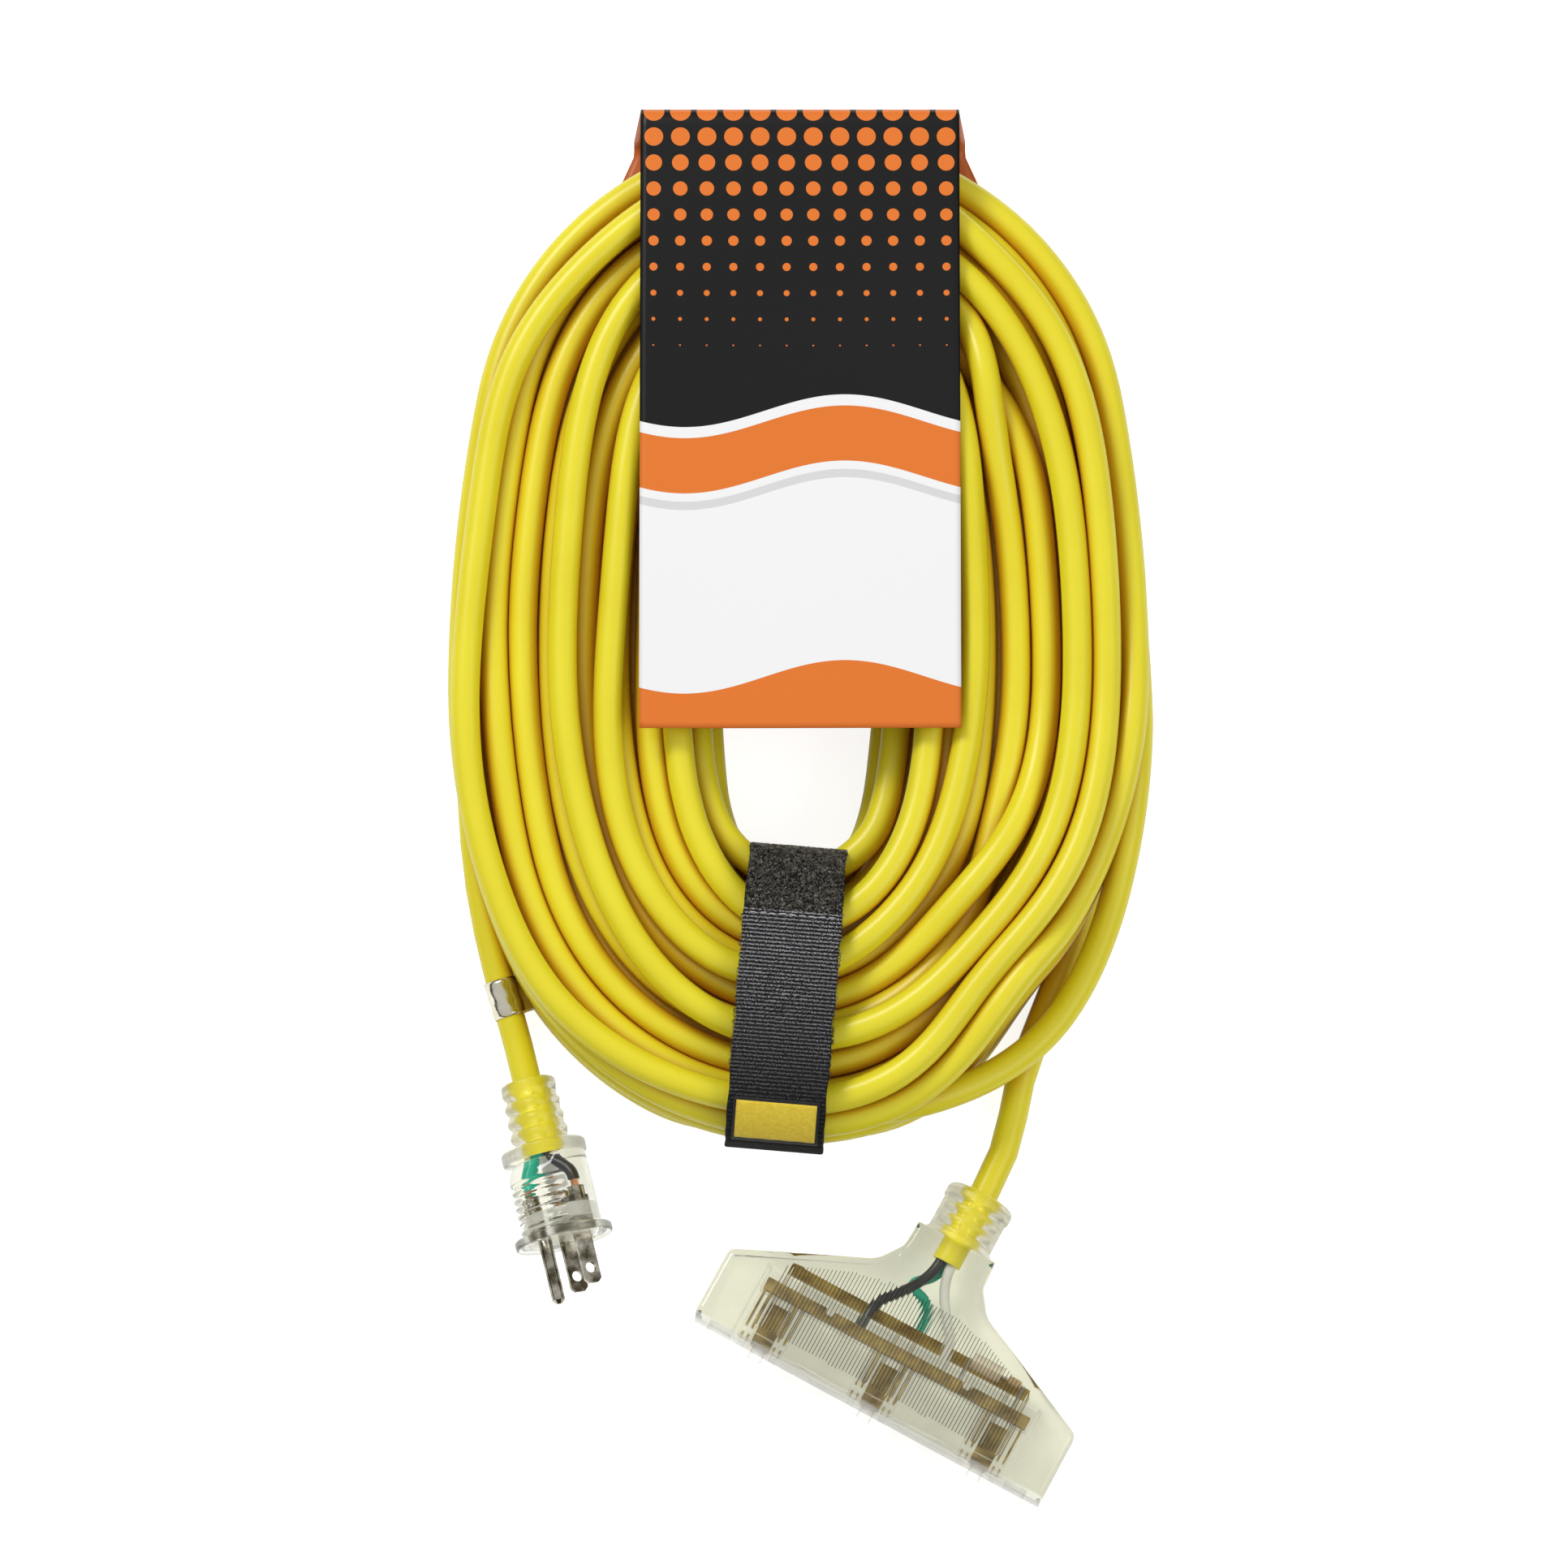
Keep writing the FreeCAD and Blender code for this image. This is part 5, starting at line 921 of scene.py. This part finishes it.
def make_block():
    side = rounded([
        (BLOCK_HALF, BLOCK_FRONT, 0), (BLOCK_HALF, BLOCK_SIDE, SIDE_ROUND), (*THROAT, THROAT_ROUND),
        (NECK_HALF, NECK_START, NECK_ROUND), (NECK_HALF - NECK_TAPER, NECK_END, 0)], 0.8)
    outline = np.vstack([side, side[::-1] * (-1, 1)])
    across = block_columns()
    straight = side[:, 0] > BLOCK_HALF - TINY
    edge = np.vstack([side[straight][-1:], side[~straight]])
    far = np.interp(np.abs(across), edge[::-1, 0], edge[::-1, 1])
    far[np.abs(across) < NECK_HALF - NECK_TAPER] = NECK_END
    inner = np.linspace(0, 1, INNER_ROWS + 2)[1:-1, None]
    near_rows, far_rows = BLOCK_FRONT + EDGE_STEPS[:, None] + 0 * far, far - EDGE_STEPS[::-1, None]
    depth = np.vstack([near_rows, near_rows[-1] + (far_rows[0] - near_rows[-1]) * inner, far_rows])
    rows, columns = depth.shape
    count = rows * columns
    flat = np.column_stack([np.tile(across, rows), depth.reshape(-1)])
    inset = np.minimum(distance_to(flat, outline), EDGE_ROUND)
    drop = EDGE_ROUND - np.sqrt(EDGE_ROUND ** 2 - (EDGE_ROUND - inset) ** 2)
    top = np.column_stack([flat, block_top(flat[:, 0], flat[:, 1]) - drop])
    faces = grid_faces(rows, columns)
    middles = flat[np.array(faces)].mean(axis=1)
    # Painted shade: in the gripped zone, one face in each rib valley takes the dark rib material.
    valley = np.abs(np.mod(middles[:, 0] / GRIP_RIB_PITCH, 1) - VALLEY_AT) < VALLEY_HALF
    shaded = (valley & in_grip(middles[:, 0], middles[:, 1])).astype(int).tolist()
    faces += grid_faces(rows, columns, start=count)
    index = np.arange(count).reshape(rows, columns)
    rim = np.concatenate([index[0], index[1:, -1], index[-1, -2::-1], index[-2:0:-1, 0]]).tolist()
    faces += [(a, b, b + count, a + count) for a, b in zip(rim, rim[1:] + rim[:1])]
    shaded += [0] * (len(faces) - len(shaded))
    skin = mesh_piece("block_moulding", placed(np.vstack([top, top * (1, 1, -1)]), BLOCK_PLACE), faces,
                      [block_clear, rib_valley_shade], sides=shaded)
    start, waist, end = NECK_END + 0.05, COLLAR_RADIUS - 0.6, COLLAR_END
    line = rounded([
        (start, POLE, 0), (start, COLLAR_RADIUS + 0.2, 0.5), (NECK_END + 1.8, COLLAR_RADIUS + 0.2, 0.5),
        (NECK_END + 2.2, waist, 0), (end - 6, waist, 0), (end - 5, COLLAR_RADIUS, 1),
        (end, COLLAR_RADIUS, 2.6), (end, POLE, 0)], 0.4)
    turned("block_collar", line, COLLAR_PLACE, [satin_clear], collar_shift)
    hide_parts("block_body")


# The strap, in its own frame: X across it, +Y towards the coil's middle
STRAP_WIDTH, BAND_THICKNESS, FLAP_THICKNESS, FLAP_SHEET = 34.5, 2.0, 1.8, 1.5
BAND_HALF, BAND_TOP, BAND_ROUND = 52.25, 59.6, 21.0
SEAM_AT = 27.25
FLAP_HALF, FLAP_MIDDLE, FLAP_ROUND, FLAP_FOOT = 54.45, 61.8, 23.2, 37.1
FLAP_WANDER, EDGE_WANDER, WANDER_RATES = 0.12, 0.25, (0.21, 0.12, 0.33)
EDGE_SHARES = np.array([0.35, 0.8, 1.0])
EDGE_INSETS = np.array([0, 0.25, 0.8])
THIN_END = 0.4


def swept(line, across):
    """A grid with a line in Y and Z going down it and places in X going across it."""
    grid = np.zeros((len(line), across.shape[-1], 3))
    grid[:, :, 0] = across
    grid[:, :, 1:] = line[:, None, :]
    return grid


def tape(line, wander, rng):
    """A grid over a line, as wide as the strap and slightly uneven, and its shares of thickness."""
    edge = STRAP_WIDTH / 2
    middle = np.linspace(2 - edge, edge - 2, 16)
    across = np.concatenate([EDGE_INSETS - edge, middle, edge - EDGE_INSETS[::-1]])
    grid = swept(line, across)
    waves = rng.random(6) * TURN
    along = np.arange(len(line))[:, None]
    down, over, edgeways = WANDER_RATES
    grid[:, :, 2] += wander * (np.sin(along * down + waves[0]) * np.cos(across * over + waves[1]))
    outermost = np.sign(across) * (np.abs(across) > edge - 1)
    grid[:, :, 0] += EDGE_WANDER * np.sin(along * edgeways + waves[2]) * outermost
    shares = np.ones(grid.shape[:2])
    shares[:, :3] = EDGE_SHARES
    shares[:, -3:] = EDGE_SHARES[::-1]
    return grid, shares


def make_strap():
    rng = np.random.default_rng(STRAP_SEED)
    middle = BAND_THICKNESS / 2
    loop = rounded([(side * BAND_HALF, height, BAND_ROUND) for side, height in (
        (1, middle), (1, BAND_TOP), (-1, BAND_TOP), (-1, middle))], 1.6, closed=True)
    grid, shares = tape(loop, 0.0, rng)
    thickness = BAND_THICKNESS * shares
    band = thick_sheet("strap_loop_band", grid, thickness, [pile], round_rows=True)
    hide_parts("strap_band")

    line = rounded([
        (SEAM_AT, FLAP_MIDDLE, 0), (-FLAP_HALF, FLAP_MIDDLE, FLAP_ROUND), (-FLAP_HALF, FLAP_FOOT, 0)], 1.2)
    grid, shares = tape(line, FLAP_WANDER, rng)
    shares[[0, -1]] *= THIN_END
    flap = thick_sheet("strap_hook_flap", grid, FLAP_SHEET * shares, [hook_tape], "flap")
    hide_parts("strap_flap")
    fuzz, edge = make_pile(rng)
    make_label()
    make_stitches(rng)


def make_fibres(name, feet, normals, sides, heights, spans, radius, steps, material, body="root"):
    """One piece of small three-sided arcs that stand on feet."""
    points, faces = [], []
    ring = TURN * np.arange(3) / 3
    for foot, normal, side, height, span in zip(feet, normals, sides, heights, spans):
        lateral = np.cross(normal, side)
        start = len(points)
        for step in range(steps):
            angle = math.pi * step / (steps - 1)
            centre = foot + side * span * 0.5 * math.cos(angle) + normal * height * math.sin(angle)
            outward = side * math.cos(angle) + normal * math.sin(angle)
            points += [centre + radius * (outward * math.cos(a) + lateral * math.sin(a)) for a in ring]
        faces += grid_faces(steps, 3, round_columns=True, start=start)
        faces += [tuple(start + c for c in range(3)), tuple(start + 3 * (steps - 1) + c for c in range(3))]
    return mesh_piece(name, placed(points, STRAP_PLACE), faces, [material], body)


PILE_COUNT, EDGE_FIBRES, PILE_BELOW = 5200, 300, 20
PILE_HEIGHT, FIBRE_RADIUS = 0.8, 0.095
PILE_LOW, PILE_LOW_SHARE, SUNK = (2.5, 5.0), 0.45, 0.1


def make_pile(rng):
    """Loops of the band's pile where it shows, lower beside the seam, and fibres on the flap's edges."""
    bend_y, bend_z = BAND_HALF - BAND_ROUND, BAND_TOP - BAND_ROUND
    flat_length, bend_length = bend_y - SEAM_AT, BAND_ROUND * math.pi / 2
    along = rng.random(PILE_COUNT) * (flat_length + bend_length + PILE_BELOW)
    across = (rng.random(PILE_COUNT) - 0.5) * (STRAP_WIDTH - 0.6)
    angle = np.clip((along - flat_length) / BAND_ROUND, 0, math.pi / 2)
    below = np.maximum(along - flat_length - bend_length, 0)
    outer = BAND_ROUND + BAND_THICKNESS / 2 - SUNK
    on_flat, none = along < flat_length, np.zeros(PILE_COUNT)
    feet = np.column_stack([
        across, np.where(on_flat, SEAM_AT + along, bend_y + outer * np.sin(angle)),
        np.where(on_flat, BAND_TOP + BAND_THICKNESS / 2 - SUNK, bend_z + outer * np.cos(angle) - below)])
    normals = np.column_stack([none, np.sin(angle), np.cos(angle)])
    turn = rng.random(PILE_COUNT) * TURN
    lengthways = np.column_stack([none, np.cos(angle), -np.sin(angle)])
    sides = np.outer(np.cos(turn), (1, 0, 0)) + np.sin(turn)[:, None] * lengthways
    heights = PILE_HEIGHT * (0.4 + 0.6 * rng.random(PILE_COUNT))
    heights = heights * (PILE_LOW_SHARE + (1 - PILE_LOW_SHARE) * soft_step(along, *PILE_LOW))
    spans = 0.5 + 1.1 * rng.random(PILE_COUNT)
    fuzz = make_fibres("strap_pile", feet, normals, sides, heights, spans, FIBRE_RADIUS, 4, fibres)

    right = np.where(rng.random(EDGE_FIBRES) < 0.5, 1.0, -1.0)
    place = SEAM_AT - rng.random(EDGE_FIBRES) * (SEAM_AT + bend_y)
    low = np.full(EDGE_FIBRES, FLAP_MIDDLE - SUNK)
    feet = np.column_stack([right * (STRAP_WIDTH / 2 - 0.15), place, low])
    heights = 0.3 + 0.9 * rng.random(EDGE_FIBRES) ** 2
    spans = 0.5 + rng.random(EDGE_FIBRES)
    normals, sides = np.outer(right, (1, 0, 0)), np.outer(np.abs(right), (0, 1, 0))
    edge = make_fibres("strap_edge_fibres", feet, normals, sides, heights, spans, FIBRE_RADIUS, 5, hook_tape,
                       "flap")
    return fuzz, edge


LABEL_LENGTH, LABEL_START, LABEL_SWEEP = 30.5, math.radians(20), math.radians(46)
LABEL_ROUND, LABEL_THICKNESS, LABEL_RIPPLE = FLAP_ROUND + FLAP_THICKNESS / 2 + 0.25, 0.3, 0.06
LABEL_LAYERS = (("label_edge", 0.0, 0.0, label_rim), ("strap_label_weave", 1.3, 0.24, label_weave))


def make_label():
    """Woven label sewn over the flap's bend, bare, with a dark turned edge."""
    pieces = []
    for name, inset, lift, material in LABEL_LAYERS:
        margin = inset / LABEL_ROUND
        angle = np.linspace(LABEL_START + margin, LABEL_START + LABEL_SWEEP - margin * 1.6, 14)
        across = np.linspace(-LABEL_LENGTH / 2 + inset * 0.8, LABEL_LENGTH / 2 - inset * 0.8, 24)
        radius = LABEL_ROUND + lift + LABEL_RIPPLE * np.sin(across * 0.9) * np.cos(angle * 9)[:, None]
        grid = np.zeros((len(angle), len(across), 3))
        grid[:, :, 0] = across
        grid[:, :, 1] = FLAP_ROUND - FLAP_HALF - radius * np.sin(angle)[:, None]
        grid[:, :, 2] = FLAP_MIDDLE - FLAP_ROUND + radius * np.cos(angle)[:, None]
        shares = np.ones(grid.shape[:2])
        shares[[0, -1]] = shares[:, [0, -1]] = THIN_END
        pieces.append(thick_sheet(name, grid, LABEL_THICKNESS * shares, [material], "flap"))
    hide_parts("strap_label")
    return pieces


STITCHES, STITCH_SETBACK, STITCH_LENGTH, STITCH_HEIGHT, STITCH_RADIUS = 9, 1.5, 2.1, 0.28, 0.22


def make_stitches(rng):
    """A row of white stitches over the seam, each a little unlike the next."""
    ones = np.ones(STITCHES)
    across = (np.arange(STITCHES) + 1) * STRAP_WIDTH / (STITCHES + 1) - STRAP_WIDTH / 2
    place = SEAM_AT - STITCH_SETBACK + 0.3 * (rng.random(STITCHES) - 0.5)
    feet = np.column_stack([across, place, (FLAP_MIDDLE + FLAP_THICKNESS / 2 - 0.2) * ones])
    sides = np.column_stack([ones, 0.25 * (rng.random(STITCHES) - 0.5), 0 * ones])
    spans = STITCH_LENGTH * (0.8 + 0.3 * rng.random(STITCHES))
    row = make_fibres("stitch_row", feet, np.outer(ones, (0, 0, 1)), sides, STITCH_HEIGHT * ones, spans,
                      STITCH_RADIUS, 8, thread, "flap")
    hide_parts("seam_stitches")
    return row


# The card sleeve, folded over the top of the coil
CARD_WIDTH, CARD_BACK_WIDTH, CARD_FLARE = 114.0, 133.2, 14.0
CARD_THICKNESS, CARD_TOP, CARD_BEND = 0.8, 187.0, 4.6
CARD_BACK_END, CARD_FRONT_END, CARD_HIGH, CARD_MIDDLE = -18.0, -38.3, 59.3, 25.0
FOLD_FLARE, CARD_BOW, CARD_TWIST, CARD_REST = 0.35, 1.2, 0.5, 0.8


def make_card():
    """One sheet from the back panel's lower edge round the fold to the front panel's lower edge."""
    middle = CARD_THICKNESS / 2
    line = rounded([
        (CARD_BACK_END, middle, 0), (CARD_TOP - middle, middle, CARD_BEND),
        (CARD_TOP - middle, CARD_HIGH, CARD_BEND), (CARD_FRONT_END, CARD_HIGH, 0)], 2.5)
    y, z = line[:, 0], line[:, 1]
    across = np.linspace(-0.5, 0.5, 49)
    down = np.clip((CARD_HIGH - CARD_BEND - z) / (CARD_HIGH - 2 * CARD_BEND), 0, 1)
    behind = np.clip((CARD_TOP - CARD_BEND - y) / CARD_FLARE, 0, 1) * (z < CARD_MIDDLE)
    width = CARD_WIDTH + (CARD_BACK_WIDTH - CARD_WIDTH) * (FOLD_FLARE * down + (1 - FOLD_FLARE) * behind)
    grid = swept(line, width[:, None] * across)
    front = soft_step(CARD_TOP - 20 - y, 0, 60) * (z > CARD_MIDDLE)
    twist = CARD_TWIST * np.sin(across * 5 + 0.6) * soft_step(-y, -60, 38)[:, None]
    grid[:, :, 2] += front[:, None] * (CARD_BOW * (4 * across ** 2) + twist - CARD_REST)
    card = thick_sheet("folded_card", grid, CARD_THICKNESS, [print_side, plain_side],
                       place=Matrix.Identity(4))
    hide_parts("card_sleeve")


# The foil tag, folded round the plug's tail
TAG_LENGTH, TAG_REACH, TAG_RADIUS, TAG_OPENING, TAG_THICKNESS = 13.6, 14.0, 5.75, 0.32, 0.16
TAG_BEND, TAG_RIPPLE, TAG_CURL, TAG_WRINKLE = 0.7, 0.3, 0.009, 0.12
TAG_GAP, TAG_PINCH, TAG_PINCH_REACH = 0.22, 1.4, 1.3


def make_tag():
    """A strip of foil that goes round the cord and comes back on itself as a flag."""
    start, end = PLUG_ROUTE[2], PLUG_ROUTE[1]
    along = (end - start).normalized()
    side = Vector((0, 0, 1)).cross(along).normalized()
    place = frame_at(start.lerp(end, 0.5), along, side)
    angle = np.linspace(TAG_OPENING, TURN - TAG_OPENING, 40)
    ring = np.column_stack([TAG_RADIUS * np.cos(angle), TAG_RADIUS * np.sin(angle)])
    out = np.linspace(TAG_RADIUS + TAG_REACH, TAG_RADIUS + 0.6, 14)
    lift = TAG_GAP + TAG_PINCH * np.exp(-(out - TAG_RADIUS) / TAG_PINCH_REACH)
    line = np.vstack([np.column_stack([out, lift]), ring, np.column_stack([out[::-1], -lift[::-1]])])
    stations = np.linspace(-TAG_LENGTH / 2, TAG_LENGTH / 2, 12)
    grid = swept(line, stations)
    phase = np.random.default_rng(TAG_SEED).random(4) * TURN
    reach = line[:, :1]
    on_flag = soft_step(reach, TAG_RADIUS, TAG_RADIUS + 4)
    bend = TAG_BEND * np.sin(reach * 0.35 + stations * 0.22 + phase[0])
    bend = bend + TAG_RIPPLE * np.sin(stations * 0.9 + phase[1]) + TAG_CURL * (reach - TAG_RADIUS) ** 2
    grid[:, :, 2] += on_flag * bend
    wrinkle = TAG_WRINKLE * np.sin(np.arange(len(line))[:, None] * 0.9 + stations * 1.1 + phase[2])
    grid[:, :, 1:] += ((1 - on_flag) * wrinkle)[:, :, None] * line[:, None, :] / TAG_RADIUS
    tag = thick_sheet("foil_strip", grid, TAG_THICKNESS, [foil, foil_print], place=place)
    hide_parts("foil_tag")
    return tag


moulding = make_plug()
on_plug = make_wires("plug", PLUG_PLACE, Vector((1, 0, 0)), PLUG_WIRES, (3, 3))
make_wires("block", BLOCK_PLACE, Vector((0, -1, 0)), BLOCK_WIRES, (6, 10))
make_block()
make_strap()
make_card()
tag = make_tag()
cord.data.materials.append(jacket)

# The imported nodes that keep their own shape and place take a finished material
FINISHES = (
    (jacket, ("plug_jacket_end", "block_jacket_end")), (nickel, ("blade_hot", "blade_neutral", "earth_pin")),
    (brass, ("hot_bus", "neutral_bus", "earth_bus")), (copper, ("plug_copper_ends",)),
    (clear_insert, ("outlet_carrier",)), (milky, ("plug_bridge",)), (locator, ("locating_pins",)),
    (lamp_glass, ("indicator_lamp",)), (lacquer, ("lamp_resistor",)), (tinned, ("lamp_leads",)))
for finish, nodes in FINISHES:
    for node in nodes:
        solid = frame["nodes"][node]
        solid.data.materials.clear()
        solid.data.materials.append(finish)


# Floor and light: a white tent above a dark horizon, which gives clear plastic and metal their edges
DARK_HORIZON, HORIZON_RISE = (0.015, 0.015, 0.015), (0.22, 0.42)
WORLD_STRENGTH, BACKGROUND = 0.62, (1.7, 1.7, 1.7)
FLOOR_HALF, FLOOR_DROP = 6, 0.0004
FLOOR_GLOW, FLOOR_GLOW_MIRRORED = 0.8, 0.4


def make_stage():
    floor = bpy.data.meshes.new("floor")
    corners = [(x * FLOOR_HALF, y * FLOOR_HALF, 0) for x, y in ((-1, -1), (1, -1), (1, 1), (-1, 1))]
    floor.from_pydata(corners, [], [(0, 1, 2, 3)])
    floor = link("floor", floor)
    floor.location.z = -FLOOR_DROP
    material, tree, shader = new_material("pale_floor", Base_Color=(0.86, 0.86, 0.86), Roughness=0.9,
                                          Specular_IOR_Level=0.1)
    rays = add_node(tree, "LightPath").outputs
    mirrored = maths(tree, "MAXIMUM", rays["Is Glossy Ray"], rays["Is Transmission Ray"])
    mirrored = maths(tree, "MULTIPLY", mirrored, FLOOR_GLOW_MIRRORED)
    seen = maths(tree, "MULTIPLY", rays["Is Camera Ray"], FLOOR_GLOW)
    glow = add_node(tree, "Emission", Strength=maths(tree, "MAXIMUM", seen, mirrored))
    add = add_node(tree, "AddShader")
    feed(tree, add, {0: shader.outputs["BSDF"], 1: glow.outputs["Emission"]})
    feed(tree, tree.nodes["Material Output"], {"Surface": add.outputs["Shader"]})
    floor.data.materials.append(material)
    world = bpy.data.worlds.new("studio")
    world.use_nodes = True
    tree = world.node_tree
    tent = blend(tree, axes_of(tree, "Generated")["Z"], DARK_HORIZON, (1, 1, 1), *HORIZON_RISE)
    sky = painted(tree, add_node(tree, "LightPath").outputs["Is Camera Ray"], tent, BACKGROUND)
    feed(tree, tree.nodes["Background"], {"Color": sky, "Strength": WORLD_STRENGTH})
    scene.world = world


def make_lamp(name, place, width, power):
    """A soft lamp, in metres and watts, that points at the coil's middle."""
    lamp = bpy.data.lights.new(name, "AREA")
    lamp.shape = "RECTANGLE"
    lamp.size = width
    lamp.size_y = width * 0.7
    lamp.energy = power
    holder = link(name, lamp)
    holder.location = place
    holder.rotation_euler = (-Vector(place)).to_track_quat("-Z", "Y").to_euler()


make_stage()
make_lamp("key_lamp", (-0.9, 1.1, 1.5), 0.8, 18)
make_lamp("fill_lamp", (1.3, -0.5, 1.4), 1.4, 7)
scene.view_settings.view_transform = "Standard"

bpy.context.view_layer.update()
